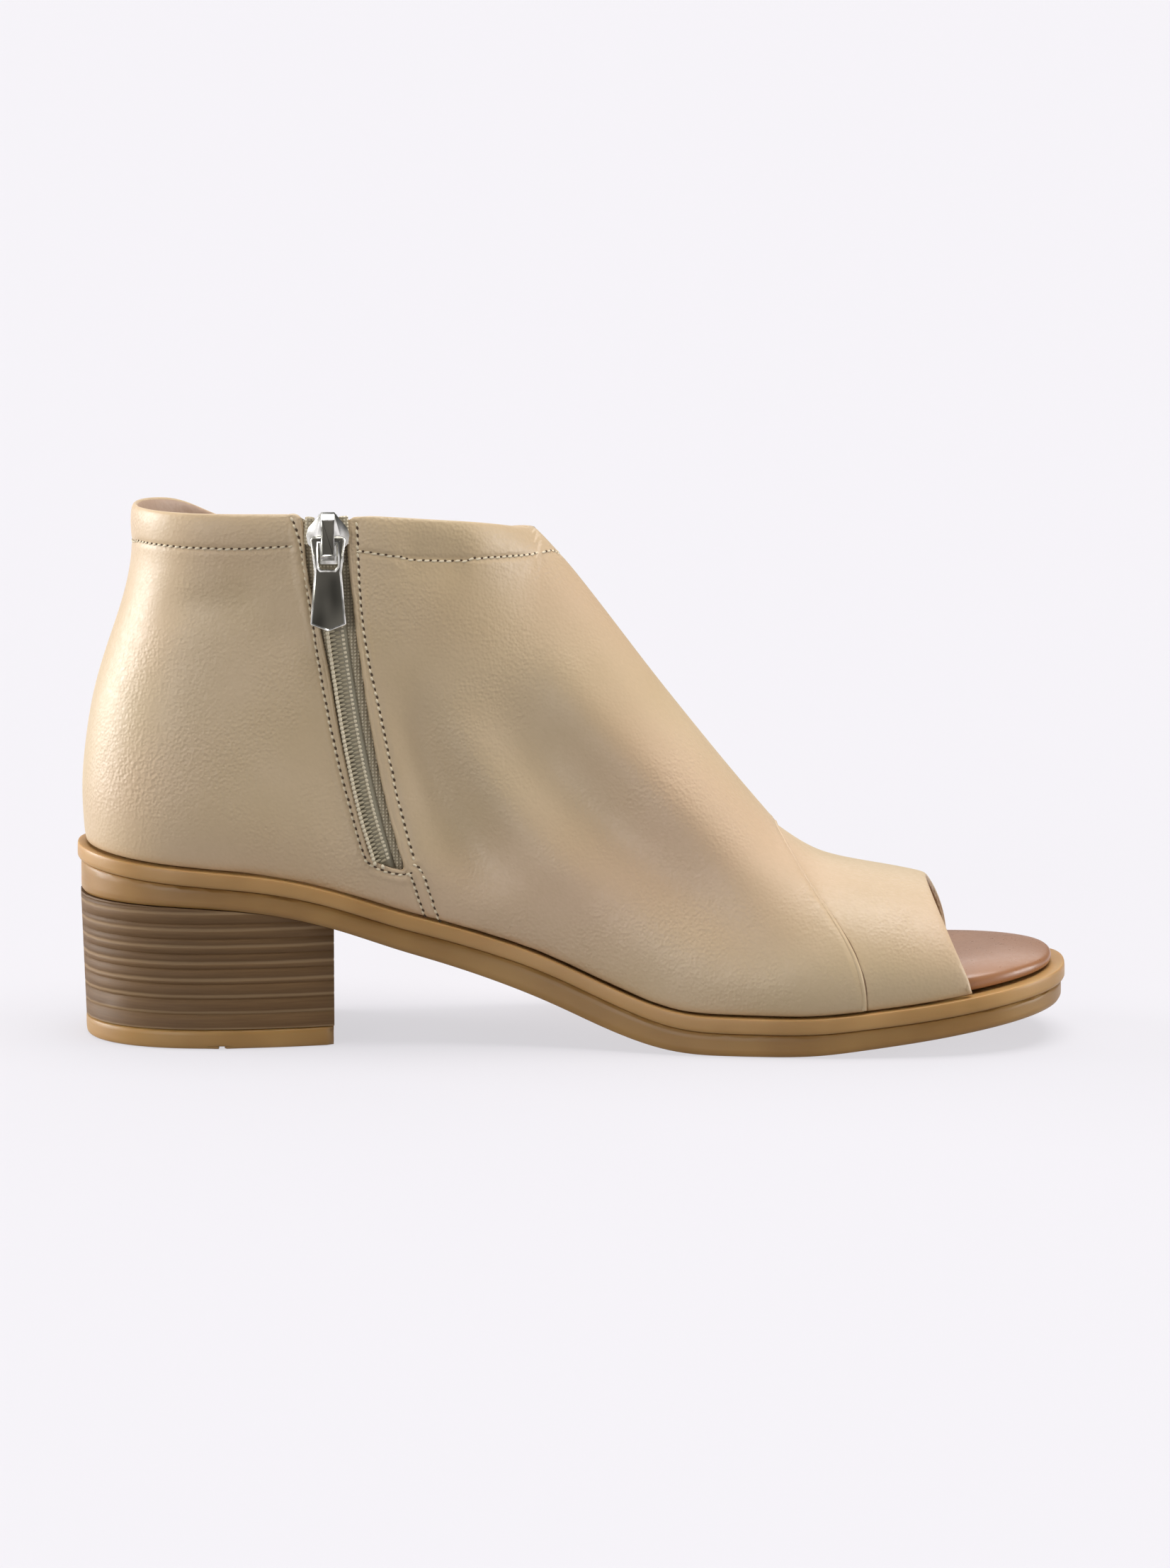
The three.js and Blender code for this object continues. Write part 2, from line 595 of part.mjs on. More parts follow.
// A thin shell from points and quads: outer and inner faces, and a rim with a middle row round every edge.
function shell(points, quads, outward, inward, rimRound, keepLevel) {
  const normals = points.map(() => new THREE.Vector3());
  const edges = new Map();
  for (const quad of quads) {
    const across = new THREE.Vector3().subVectors(points[quad[2]], points[quad[0]]);
    const along = new THREE.Vector3().subVectors(points[quad[3]], points[quad[1]]);
    const facing = new THREE.Vector3().crossVectors(across, along);
    quad.forEach((corner, i) => {
      normals[corner].add(facing);
      edges.set(`${corner},${quad[(i + 1) % quad.length]}`, [corner, quad[(i + 1) % quad.length]]);
    });
  }
  normals.forEach((normal, i) => {
    if (keepLevel(i)) normal.z = 0;
    normal.normalize();
  });
  const outer = points.map((p, i) => p.clone().addScaledVector(normals[i], outward(i)));
  const inner = points.map((p, i) => p.clone().addScaledVector(normals[i], -inward(i)));
  const all = [...outer, ...inner];
  const polygons = [];
  for (const quad of quads) {
    polygons.push(quad, quad.map((corner) => corner + points.length).reverse());
  }
  const middles = new Map();
  const middleOf = (i) => {
    if (!middles.has(i)) {
      middles.set(i, all.length);
      all.push(outer[i].clone().add(inner[i]).multiplyScalar(0.5).add(rimRound(i)));
    }
    return middles.get(i);
  };
  for (const [a, b] of edges.values()) {
    if (!edges.has(`${b},${a}`)) {
      polygons.push([b, a, middleOf(a), middleOf(b)]);
      polygons.push([middleOf(b), middleOf(a), a + points.length, b + points.length]);
    }
  }
  return bodyOf(all, polygons);
}

// The upper: back, quarters, vamp and toe band in one wall, open at the collar, zip, toe and underneath.
function upper() {
  const points = [];
  const facts = [];
  const index = new Map();
  const last = levels.length - 1;
  const total = backSteps + ribs.length - 1;
  function vertex(side, i, j) {
    const shared = i === 0 || (j === last && i >= backSteps + frontRib);
    const key = `${shared ? 0 : side},${i},${j}`;
    if (!index.has(key)) {
      const rib = i - backSteps;
      const point = rib < 0
        ? backPoint(side, (i / backSteps) * quarterTurn, levels[j])
        : ribPoint(side, ribs[rib].top, side > 0 ? ribs[rib].inner : ribs[rib].outer, levels[j]);
      const spread = ease((levels[j] - spreadLevel) / (spreadEnd - spreadLevel));
      if (side > 0 && rib === zipFirst) point.y -= sliderSpread * spread;
      index.set(key, points.length);
      points.push(point);
      facts.push({ side, i, j, out: proud(side, rib, j, point) });
    }
    return index.get(key);
  }
  const quads = [];
  for (const side of [1, -1]) {
    for (let i = 0; i < total; i += 1) {
      for (let j = 0; j < last; j += 1) {
        const inZip = side > 0 && i >= backSteps + zipFirst && i < backSteps + zipLast && j >= zipLevel;
        if (!inZip) {
          const corners = [[i, j], [i + 1, j], [i + 1, j + 1], [i, j + 1]];
          const quad = corners.map(([rib, level]) => vertex(side, rib, level));
          quads.push(side > 0 ? quad : quad.reverse());
        }
      }
    }
  }
  const rimRound = (v) => {
    const { side, i, j } = facts[v];
    const soft = rimShare * wall;
    const awayFrom = (rib) => points[v].clone().sub(points[vertex(side, rib, j)]).setLength(soft);
    if (j > 0 && i === total) return awayFrom(i - 1);
    if (j === last && i >= backSteps + frontRib) return awayFrom(i + 1);
    return new THREE.Vector3(0, 0, j === last ? soft : 0);
  };
  return shell(points, quads, (v) => facts[v].out, () => wall, rimRound, (v) => facts[v].j === 0);
}

// A strip that follows the wall along the zip. Each column has its distance from the coil's middle line, its
// top, and how far its two faces lie out from and in from the leather's face.
const coilTop = zipRear + zipWidth / 2 + coilOffset;
const coilFoot = zipRearFoot + zipFootWidth / 2 + coilOffset;
function zipStrip(columns, low, steps) {
  const points = [];
  const quads = [];
  const wide = columns.length;
  for (let j = 0; j <= steps; j += 1) {
    columns.forEach(({ across, top }) => {
      points.push(ribPoint(1, coilTop + across, coilFoot + across, mix(low, top, j / steps)));
    });
  }
  for (let j = 0; j < steps; j += 1) {
    for (let i = 0; i < wide - 1; i += 1) {
      const corner = j * wide + i;
      quads.push([corner, corner + 1, corner + wide + 1, corner + wide]);
    }
  }
  const outward = (v) => columns[v % wide].outward;
  const inward = (v) => columns[v % wide].inward;
  return shell(points, quads, outward, inward, () => new THREE.Vector3(), () => false);
}

// The tape, behind the leather. Its two halves part round the slider and end at the collar.
function zipTape() {
  const half = zipWidth / 2 + tapeMargin;
  const face = wall + tapeGap;
  const columns = [-1, -0.6, -0.28, 0, 0.28, 0.6, 1].map((share) => ({
    across: share * half,
    top: 1 - (tapeSplit / zipRise) * clamp01(1 - 2 * Math.abs(share)),
    outward: -face,
    inward: face + tapeThickness,
  }));
  return zipStrip(columns, zipStop - tapeTail / zipRise, tapeSteps);
}

// The coil: two rows of teeth side by side, from the foot of the zip to just under the slider.
const sliderLevel = 1 - sliderDrop / (collarHeight - soleTop(coilTop));
function zipCoil() {
  const base = wall - gap;
  const top = sliderLevel - (0.5 * sliderHeight + 1) / (collarHeight - soleTop(coilTop));
  const crown = [0.5, 1, 0.72, 1, 0.5];
  const columns = crown.map((share, c) => ({
    across: (c / (crown.length - 1) - 0.5) * coilWidth,
    top,
    outward: share * coilHeight - base,
    inward: base,
  }));
  return zipStrip(columns, zipStop + coilStart / zipRise, coilSteps);
}

// The slider's seat on the wall: a frame with its own forward, up and outward directions.
const seatPoint = ribPoint(1, coilTop, coilFoot, sliderLevel);
const below = ribPoint(1, coilTop, coilFoot, sliderLevel - sliderHeight / zipRise);
const ahead = ribPoint(1, coilTop + zipWidth / 2, coilFoot + zipWidth / 2, sliderLevel);
const behind = ribPoint(1, coilTop - zipWidth / 2, coilFoot - zipWidth / 2, sliderLevel);
const forward = new THREE.Vector3().subVectors(ahead, behind).setZ(0).normalize();
const rising = new THREE.Vector3().subVectors(seatPoint, below);
const upward = rising.addScaledVector(forward, -rising.dot(forward)).normalize();
const outwards = new THREE.Vector3().crossVectors(forward, upward);
const seatFrame = new THREE.Matrix4().makeBasis(forward, upward, outwards).setPosition(seatPoint);

// A flat outline, extruded across the seat frame from one distance out to another.
function plate(outline, from, to, hole) {
  const shape = new THREE.Shape(outline.map(([x, y]) => new THREE.Vector2(x, y)));
  if (hole) shape.holes.push(new THREE.Path(hole.map(([x, y]) => new THREE.Vector2(x, y)).reverse()));
  return new THREE.ExtrudeGeometry(shape, { depth: to - from, bevelEnabled: false }).translate(0, 0, from);
}
const mirrored = (half) => [...half, ...half.map(([x, y]) => [-x, y]).reverse()];

const plateTop = plateLift + sliderPlate; // face of the slider's plate, out from the leather
const pullAxis = plateTop + bailGap / 2;
const axisUp = -0.03 * sliderHeight;

// The slider: a shield-shaped plate on a wedge between the tapes, and the bail that the pull turns under.
function zipSlider() {
  const half = sliderWidth / 2;
  const face = plate(mirrored([
    [0.3 * half, 0.5 * sliderHeight],
    [0.9 * half, 0.2 * sliderHeight],
    [half, 0.06 * sliderHeight],
    [0.93 * half, -0.1 * sliderHeight],
    [0.72 * half, -0.2 * sliderHeight],
    [0.72 * half, -0.46 * sliderHeight],
    [0.6 * half, -0.5 * sliderHeight],
  ]), plateLift, plateTop);
  const wedge = plate(mirrored([
    [0.35 * sliderWedge, 0.44 * sliderHeight],
    [0.5 * sliderWedge, 0.25 * sliderHeight],
    [0.4 * sliderWedge, -0.44 * sliderHeight],
  ]), -wall, plateLift + gap);
  const head = 0.48 * sliderHeight;
  const foot = -0.415 * sliderHeight;
  const outer = plateTop + bailGap + bailThickness;
  const inner = plateTop + bailGap;
  const root = plateTop - gap;
  const bend = 1.2;
  const bail = new THREE.ExtrudeGeometry(new THREE.Shape([
    [root, head],
    [outer - bend, head],
    [outer, head - bend],
    [outer, foot + bend],
    [outer - bend, foot],
    [root, foot],
    [root, foot + bailThickness],
    [inner - 0.3 * bend, foot + bailThickness],
    [inner, foot + bailThickness + 0.3 * bend],
    [inner, head - bailThickness - 0.3 * bend],
    [inner - 0.3 * bend, head - bailThickness],
    [root, head - bailThickness],
  ].map(([out, up]) => new THREE.Vector2(out, up))), { depth: bailWidth, bevelEnabled: false });
  bail.translate(0, 0, -bailWidth / 2).rotateY(-quarterTurn);
  return fromSolid(toSolid(face).add(toSolid(wedge)).add(toSolid(bail)));
}

// The pull, hanging from its crossbar: waisted, wider at the foot and cut to a low point.
function zipPull() {
  const bar = pullBar / 2;
  const half = pullWidth / 2;
  const outline = mirrored([
    [0.92 * half, axisUp + bar],
    [0.97 * half, axisUp + bar - 0.7],
    [pullWaist / 2, axisUp - 0.34 * pullLength],
    [half, axisUp + bar - 0.93 * pullLength],
    [0.05 * half, axisUp + bar - pullLength],
  ]);
  const window = mirrored([
    [pullWindowWidth / 2, axisUp - bar],
    [pullWindowWidth / 2, axisUp - bar - 0.88 * pullWindowLength],
    [0.36 * pullWindowWidth, axisUp - bar - pullWindowLength],
  ]);
  return plate(outline, pullAxis - pullThickness / 2, pullAxis + pullThickness / 2, window);
}

const shoe = new THREE.Group();
function add(name, geometry, colour, roughness, metalness, frame) {
  const look = new THREE.MeshStandardMaterial({ color: colour, roughness, metalness });
  const mesh = new THREE.Mesh(geometry, look);
  mesh.name = name;
  if (frame) frame.decompose(mesh.position, mesh.quaternion, mesh.scale);
  shoe.add(mesh);
}

add('outsole', outsole(), 0xa5804e, 0.5, 0);
add('welt', welt(), 0xb08c58, 0.45, 0);
add('heel_block', heelBlock(), 0x86694a, 0.65, 0);
add('heel_lift', heelLift(), 0xa5804e, 0.5, 0);
add('insole', insole(), 0xa9745a, 0.45, 0);
add('upper', upper(), 0xcdb592, 0.55, 0);
add('zip_tape', zipTape(), 0xb3a78c, 0.9, 0);
add('zip_coil', zipCoil(), 0xbfb59c, 0.6, 0);
add('zip_slider', zipSlider(), 0xb9b6ae, 0.25, 1, seatFrame);
add('zip_pull', zipPull(), 0x8d8a82, 0.22, 1, seatFrame);

const heelMiddle = (heelInset + heelTaper + heelLength) / 2;
shoe.position.set(0, -heelMiddle, 0);
export default shoe;
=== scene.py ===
# Left ankle sandal: open toe, inner side zip, stacked block heel. Metres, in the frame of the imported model.
import math
import bpy
from mathutils import Matrix, Vector
from mathutils.bvhtree import BVHTree
from mathutils.kdtree import KDTree


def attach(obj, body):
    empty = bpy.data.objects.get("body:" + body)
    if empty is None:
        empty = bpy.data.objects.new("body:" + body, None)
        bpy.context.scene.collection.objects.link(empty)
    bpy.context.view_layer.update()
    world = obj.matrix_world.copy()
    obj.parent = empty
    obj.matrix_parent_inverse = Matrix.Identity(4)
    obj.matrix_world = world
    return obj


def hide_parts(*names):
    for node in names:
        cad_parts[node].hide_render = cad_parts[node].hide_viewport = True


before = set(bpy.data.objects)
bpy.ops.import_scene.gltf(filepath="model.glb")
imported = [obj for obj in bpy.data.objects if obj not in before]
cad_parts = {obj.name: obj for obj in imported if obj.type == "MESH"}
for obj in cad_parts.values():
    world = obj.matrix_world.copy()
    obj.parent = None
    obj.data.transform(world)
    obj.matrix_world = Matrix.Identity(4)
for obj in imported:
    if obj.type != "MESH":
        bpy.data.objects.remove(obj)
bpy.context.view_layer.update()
mm = 0.001
print("frame loaded")


# small tools for meshes
def selectOnly(piece):
    bpy.ops.object.select_all(action="DESELECT")
    piece.select_set(True)
    bpy.context.view_layer.objects.active = piece


def inEditMode(piece, *steps):
    # each step is an operator and its settings, run with the whole mesh selected
    selectOnly(piece)
    bpy.ops.object.mode_set(mode="EDIT")
    bpy.ops.mesh.select_all(action="SELECT")
    for operator, settings in steps:
        operator(**settings)
    bpy.ops.object.mode_set(mode="OBJECT")


def copyOfNode(node, name):
    # a merged copy of a CAD node, with its triangles paired into quads
    selectOnly(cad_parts[node])
    bpy.ops.object.duplicate()
    piece = bpy.context.active_object
    piece.name = piece.data.name = name
    piece.parent = None
    for key in [key for key in piece.keys() if key.startswith("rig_")]:
        del piece[key]
    piece.data.materials.clear()
    inEditMode(piece,
               (bpy.ops.mesh.remove_doubles, {"threshold": 0.01 * mm}),
               (bpy.ops.mesh.tris_convert_to_quads, {"face_threshold": 0.7, "shape_threshold": 0.9}))
    return piece


def modify(piece, kind, **settings):
    selectOnly(piece)
    modifier = piece.modifiers.new(kind.lower(), kind)
    for key, value in settings.items():
        setattr(modifier, key, value)
    bpy.ops.object.modifier_apply(modifier=modifier.name)


def subdivide(piece, levels):
    modify(piece, "SUBSURF", levels=levels, render_levels=levels)


def deselectMesh(piece, kind):
    # selects nothing of the mesh, and sets whether edges or faces are selected from here
    selectOnly(piece)
    bpy.ops.object.mode_set(mode="EDIT")
    bpy.ops.mesh.select_all(action="DESELECT")
    bpy.ops.mesh.select_mode(type=kind)
    bpy.ops.object.mode_set(mode="OBJECT")


def runsLevel(a, b):
    steep = 0.7
    return abs((b - a).z) < steep * (b - a).length


def creaseSharp(piece, degrees, weight=0.9, wanted=lambda a, b: True):
    # edges that turn this much, and whose two ends are wanted, stay sharp under subdivision
    deselectMesh(piece, "EDGE")
    bpy.ops.object.mode_set(mode="EDIT")
    bpy.ops.mesh.edges_select_sharp(sharpness=math.radians(degrees))
    bpy.ops.object.mode_set(mode="OBJECT")
    places = piece.data.vertices
    for edge in piece.data.edges:
        a, b = (places[i].co for i in edge.vertices)
        edge.select = edge.select and wanted(a, b)
    bpy.ops.object.mode_set(mode="EDIT")
    bpy.ops.transform.edge_crease(value=weight)
    bpy.ops.object.mode_set(mode="OBJECT")


def finishPiece(piece, look, body="shoe", stands=(), smooth=60):
    if not piece.data.materials:
        piece.data.materials.append(look)
    selectOnly(piece)
    bpy.ops.object.shade_smooth_by_angle(angle=math.radians(smooth))
    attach(piece, body)
    if stands:
        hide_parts(*stands)


def smoothPath(points, pitch):
    # evenly spaced places, in metres, on a smooth curve through given points in millimetres
    knots = [Vector(p) * mm for p in points]
    steps = 24
    dense = []
    for i in range(len(knots) - 1):
        a, b, c, d = (knots[max(0, min(len(knots) - 1, i + k))] for k in (-1, 0, 1, 2))
        for k in range(steps):
            t = k / steps
            dense.append(0.5 * (2 * b + (c - a) * t + (2 * a - 5 * b + 4 * c - d) * t ** 2
                                + (3 * b - a - 3 * c + d) * t ** 3))
    dense.append(knots[-1])
    lengths = [0]
    for a, b in zip(dense, dense[1:]):
        lengths.append(lengths[-1] + (b - a).length)
    count = max(1, round(lengths[-1] / (pitch * mm)))
    places, k = [], 0
    for n in range(count + 1):
        at = lengths[-1] * n / count
        while k < len(lengths) - 2 and lengths[k + 1] < at:
            k += 1
        share = (at - lengths[k]) / max(lengths[k + 1] - lengths[k], 1e-9)
        places.append(dense[k].lerp(dense[k + 1], share))
    return places


def surfaceOf(piece):
    # the surface to lay things on: faces with the piece's first look
    faces = [list(face.vertices) for face in piece.data.polygons if face.material_index == 0]
    return BVHTree.FromPolygons([v.co.copy() for v in piece.data.vertices], faces)


def layOn(surface, places, lift=0):
    # drops places onto a surface: each gives its point, the row's direction and the surface's normal
    touched = [surface.find_nearest(place) for place in places]
    points = [hit[0] + hit[1] * lift * mm for hit in touched]
    rows = []
    for i, hit in enumerate(touched):
        along = points[min(i + 1, len(points) - 1)] - points[max(i - 1, 0)]
        rows.append((points[i], along.normalized(), hit[1]))
    return rows


def shiftAcross(row, across, lift=0):
    return [(p + normal.cross(along).normalized() * across * mm + normal * lift * mm, along, normal)
            for p, along, normal in row]


def repeat(name, pattern, rows, turn=0):
    # one mesh with a copy of the pattern at each row: its X runs along the row and its Z out of the surface
    base = pattern.data
    places, faces, kinds = [], [], []
    for point, along, normal in rows:
        out = (normal - along * normal.dot(along)).normalized()
        basis = Matrix((along, out.cross(along), out)).transposed()
        basis = basis @ Matrix.Rotation(math.radians(turn), 3, "Z")
        start = len(places)
        places.extend(point + basis @ v.co for v in base.vertices)
        faces.extend([start + i for i in face.vertices] for face in base.polygons)
        kinds.extend(face.material_index for face in base.polygons)
    mesh = bpy.data.meshes.new(name)
    mesh.from_pydata(places, [], faces)
    for look in base.materials:
        mesh.materials.append(look)
    mesh.polygons.foreach_set("material_index", kinds)
    piece = bpy.data.objects.new(name, mesh)
    bpy.context.scene.collection.objects.link(piece)
    return piece


def tube(name, places, radius):
    # a rounded bead along a row of places, closed at its ends
    bpy.ops.object.select_all(action="DESELECT")
    bpy.ops.curve.primitive_nurbs_path_add(location=(0, 0, 0))
    piece = bpy.context.active_object
    piece.name = name
    curve = piece.data
    curve.splines.clear()
    spline = curve.splines.new("POLY")
    spline.points.add(len(places) - 1)
    for point, place in zip(spline.points, places):
        point.co = (*place, 1)
    curve.bevel_depth = radius * mm
    curve.bevel_resolution = 2
    curve.use_fill_caps = True
    bpy.ops.object.convert(target="MESH")
    piece = bpy.context.active_object
    piece.data.name = name
    return piece


# small tools for materials
def put(look, kind, values=None, **settings):
    made = look.node_tree.nodes.new("ShaderNode" + kind)
    for key, value in settings.items():
        setattr(made, key, value)
    for socket, value in (values or {}).items():
        if isinstance(value, bpy.types.NodeSocket):
            look.node_tree.links.new(value, made.inputs[socket])
        else:
            made.inputs[socket].default_value = value
    return made


def newLook(name, **shader):
    look = bpy.data.materials.new(name)
    look.use_nodes = True
    for socket, value in shader.items():
        look.node_tree.nodes["Principled BSDF"].inputs[socket.replace("_", " ")].default_value = value
    return look


def feed(look, socket, source):
    look.node_tree.links.new(source, look.node_tree.nodes["Principled BSDF"].inputs[socket])


def objectSpace(look, stretch=(1, 1, 1), turn=(0, 0, 0)):
    where = put(look, "TexCoord").outputs["Object"]
    angles = [math.radians(a) for a in turn]
    return put(look, "Mapping", {"Vector": where, "Scale": stretch, "Rotation": angles}).outputs["Vector"]


def noise(look, where, size, detail, roughness=0.55, distortion=0):
    # size is the width of one blotch in millimetres
    values = {"Vector": where, "Scale": 1 / (size * mm), "Detail": detail, "Roughness": roughness,
              "Distortion": distortion}
    return put(look, "TexNoise", values).outputs["Fac"]


def cells(look, where, size):
    # rounded pebbles, size in millimetres
    values = {"Vector": where, "Scale": 1 / (size * mm), "Smoothness": 0.6}
    return put(look, "TexVoronoi", values, feature="SMOOTH_F1").outputs["Distance"]


def maths(look, operation, a, b=0.0, clamp=False):
    return put(look, "Math", {0: a, 1: b}, operation=operation, use_clamp=clamp).outputs[0]


def fade(look, source, low, high, start=0.0, end=1.0):
    values = {"Value": source, "From Min": low, "From Max": high, "To Min": start, "To Max": end}
    return put(look, "MapRange", values).outputs["Result"]


def blendColour(look, share, a, b):
    made = put(look, "Mix", data_type="RGBA", clamp_factor=True)
    for socket, value in zip((made.inputs[0], made.inputs[6], made.inputs[7]), (share, a, b)):
        if isinstance(value, bpy.types.NodeSocket):
            look.node_tree.links.new(value, socket)
        else:
            socket.default_value = value if socket.type == "VALUE" else (*value, 1)
    return made.outputs[2]


def bump(look, height, depth, strength):
    # depth in millimetres
    values = {"Height": height, "Distance": depth * mm, "Strength": strength}
    return put(look, "Bump", values).outputs["Normal"]


leather = {
    "colour": (0.50, 0.37, 0.21),
    "light": (0.56, 0.42, 0.26),
    "blush": (0.56, 0.37, 0.24),
    "blotch": 38,  # mm across a patch of one tone
    "blushSize": 55,
    "fleck": 1.6,
    "grain": 0.85,  # mm across a pebble of the grain
    "wrinkle": 1.6,  # mm across a fine wrinkle
    "patch": 30,  # mm across a patch of strong or weak grain
    "shares": (0.9, 0.5),  # of pebbles and wrinkles in the grain
    "depth": 0.25,  # mm: of the grain
    "roughness": (0.44, 0.6),
    "coat": 0.26,
}


def leatherLook(name, settings):
    look = newLook(name, Roughness=0.5, Coat_Weight=settings["coat"], Coat_Roughness=0.4)
    where = objectSpace(look)
    tone = noise(look, where, settings["blotch"], 2)
    fine = noise(look, where, settings["fleck"], 3)
    warm = noise(look, objectSpace(look, (1, 0.7, 1), (0, 0, 30)), settings["blushSize"], 1)
    flecks = [0.8 * c for c in settings["colour"]]
    colour = blendColour(look, fade(look, tone, 0.35, 0.65), settings["colour"], settings["light"])
    colour = blendColour(look, fade(look, warm, 0.45, 0.75, 0, 0.6), colour, settings["blush"])
    colour = blendColour(look, fade(look, fine, 0.3, 0.7, 0.0, 0.12), colour, flecks)
    feed(look, "Base Color", colour)
    feed(look, "Roughness", fade(look, fine, 0.3, 0.7, *settings["roughness"]))
    pebbleShare, wrinkleShare = settings["shares"]
    slanted = objectSpace(look, (1, 1, 0.45), (40, 0, 0))
    pebbles = maths(look, "MULTIPLY", cells(look, where, settings["grain"]), pebbleShare)
    wrinkles = maths(look, "MULTIPLY", noise(look, slanted, settings["wrinkle"], 4, 0.6, 0.8), wrinkleShare)
    patches = fade(look, noise(look, where, settings["patch"], 2), 0.4, 0.62, 0.35, 1)
    height = maths(look, "MULTIPLY", maths(look, "ADD", pebbles, wrinkles), patches)
    feed(look, "Normal", bump(look, height, settings["depth"], 0.8))
    return look


upperLeather = leatherLook("beige leather", leather)
liningLeather = leatherLook("lining leather", {
    **leather,
    "colour": (0.42, 0.275, 0.185),
    "light": (0.47, 0.32, 0.22),
    "blush": (0.40, 0.25, 0.165),
    "roughness": (0.5, 0.65),
    "depth": 0.1,
})

threadLook = newLook("thread", Base_Color=(0.70, 0.60, 0.43, 1), Roughness=0.7)
# painted shade: a dark look for a thin tube laid in the furrow beside the vamp's edge
paintedGrooveShadeLook = newLook("painted groove shade", Base_Color=(0.2, 0.125, 0.07, 1), Roughness=0.8)
# painted shade: a dark look for the shade inside each needle hole
holeShadeLook = newLook("needle hole painted shade", Base_Color=(0.07, 0.042, 0.022, 1), Roughness=0.9)

rubber = {
    "colour": (0.365, 0.2, 0.066),
    "light": (0.475, 0.27, 0.097),
    "roughness": (0.36, 0.5),
    "cloud": 25,  # mm across a cloud of one tone
    "streak": 6,
    "skin": 1.2,  # mm across the skin's unevenness, and its depth
    "depth": 0.03,
}


def rubberLook(name, settings):
    look = newLook(name, Roughness=0.42, Subsurface_Weight=0.1, Subsurface_Scale=0.003,
                   Specular_IOR_Level=0.3, Coat_Weight=0.06, Coat_Roughness=0.25)
    where = objectSpace(look)
    streaks = noise(look, objectSpace(look, (0.25, 0.25, 3)), settings["streak"], 3)
    clouds = noise(look, where, settings["cloud"], 2)
    colour = blendColour(look, fade(look, clouds, 0.35, 0.65), settings["colour"], settings["light"])
    colour = blendColour(look, fade(look, streaks, 0.45, 0.8, 0, 0.3), colour, settings["light"])
    feed(look, "Base Color", colour)
    feed(look, "Roughness", fade(look, streaks, 0.3, 0.7, *settings["roughness"]))
    feed(look, "Normal", bump(look, noise(look, where, settings["skin"], 3), settings["depth"], 0.7))
    return look


weltLook = rubberLook("welt rubber", rubber)
outsoleLook = rubberLook("outsole rubber", {
    **rubber,
    "colour": (0.29, 0.152, 0.045),
    "light": (0.375, 0.21, 0.066),
})

heelColours = {
    "dark": (0.096, 0.049, 0.017),
    "light": (0.168, 0.092, 0.037),
    "line": (0.26, 0.165, 0.082),
    "foot": 5.3,  # mm: the first layer's underside
    "layer": 4.3,
    "layers": 12,
    "clearTop": 1,  # mm: no groove nearer to the top than this
    "joint": (0.16, 0.35),  # mm: depth and half height of the groove between two layers
    "streak": 0.9,  # mm
    "toneShare": 0.2,  # how much whole layers differ
    "streakShare": 0.55,
    "lineEdge": (0.04, 0.13),  # of a layer: where the light line at its edge starts to fade, and is gone
}


def stackedLook(settings):
    look = newLook("stacked heel", Roughness=0.6, Specular_IOR_Level=0.25)
    where = put(look, "TexCoord").outputs["Object"]
    z = put(look, "SeparateXYZ", {"Vector": where}).outputs["Z"]
    height = maths(look, "SUBTRACT", z, settings["foot"] * mm)
    level = maths(look, "DIVIDE", height, settings["layer"] * mm)
    inLayer = maths(look, "FRACT", level)
    fromEdge = maths(look, "MINIMUM", inLayer, maths(look, "SUBTRACT", 1.0, inLayer))
    number = {"W": maths(look, "FLOOR", level)}
    tone = put(look, "TexWhiteNoise", number, noise_dimensions="1D").outputs["Value"]
    streaks = noise(look, objectSpace(look, (0.06, 0.06, 1.6)), settings["streak"], 4, 0.65)
    share = maths(look, "MULTIPLY", tone, settings["toneShare"])
    share = maths(look, "ADD", share, fade(look, streaks, 0.3, 0.7, 0, settings["streakShare"]), True)
    share = maths(look, "ADD", share, fade(look, inLayer, 0.2, 0.9, -0.1, 0.3), True)
    colour = blendColour(look, share, settings["dark"], settings["light"])
    waver = maths(look, "ADD", fromEdge, fade(look, streaks, 0.3, 0.7, -0.03, 0.03))
    line = fade(look, waver, *settings["lineEdge"], 0.85, 0)
    colour = blendColour(look, line, colour, settings["line"])
    feed(look, "Base Color", colour)
    feed(look, "Normal", bump(look, streaks, 0.05, 0.6))
    return look


heelLook = stackedLook(heelColours)

insoleLook = leatherLook("insole leather", {
    **leather,
    "colour": (0.29, 0.125, 0.05),
    "light": (0.35, 0.16, 0.068),
    "blush": (0.27, 0.11, 0.042),
    "roughness": (0.26, 0.4),
    "depth": 0.04,
    "coat": 0.3,
})

wavePeriod = 0.31  # the distance between two bands of a wave texture at scale 1


def wovenLook(name, colour, light, size):
    # size is the distance between two threads in millimetres
    look = newLook(name, Roughness=0.85)
    where = objectSpace(look)
    values = {"Vector": where, "Scale": wavePeriod / (size * mm)}
    over, across = (put(look, "TexWave", values, bands_direction=way).outputs["Fac"] for way in "ZY")
    weave = maths(look, "MULTIPLY", over, across)
    feed(look, "Base Color", blendColour(look, weave, colour, light))
    fluff = noise(look, where, 0.4, 2)
    feed(look, "Normal", bump(look, maths(look, "ADD", weave, fluff), 0.3, 0.8))
    return look


tapeLook = wovenLook("zip tape", (0.36, 0.30, 0.20), (0.84, 0.74, 0.55), 0.85)
coilLook = newLook("zip coil", Base_Color=(0.34, 0.29, 0.19, 1), Roughness=0.5)
coilBedLook = newLook("zip coil bed", Base_Color=(0.25, 0.22, 0.15, 1), Roughness=0.6)
chainLook = newLook("zip chain thread", Base_Color=(0.66, 0.575, 0.42, 1), Roughness=0.75)


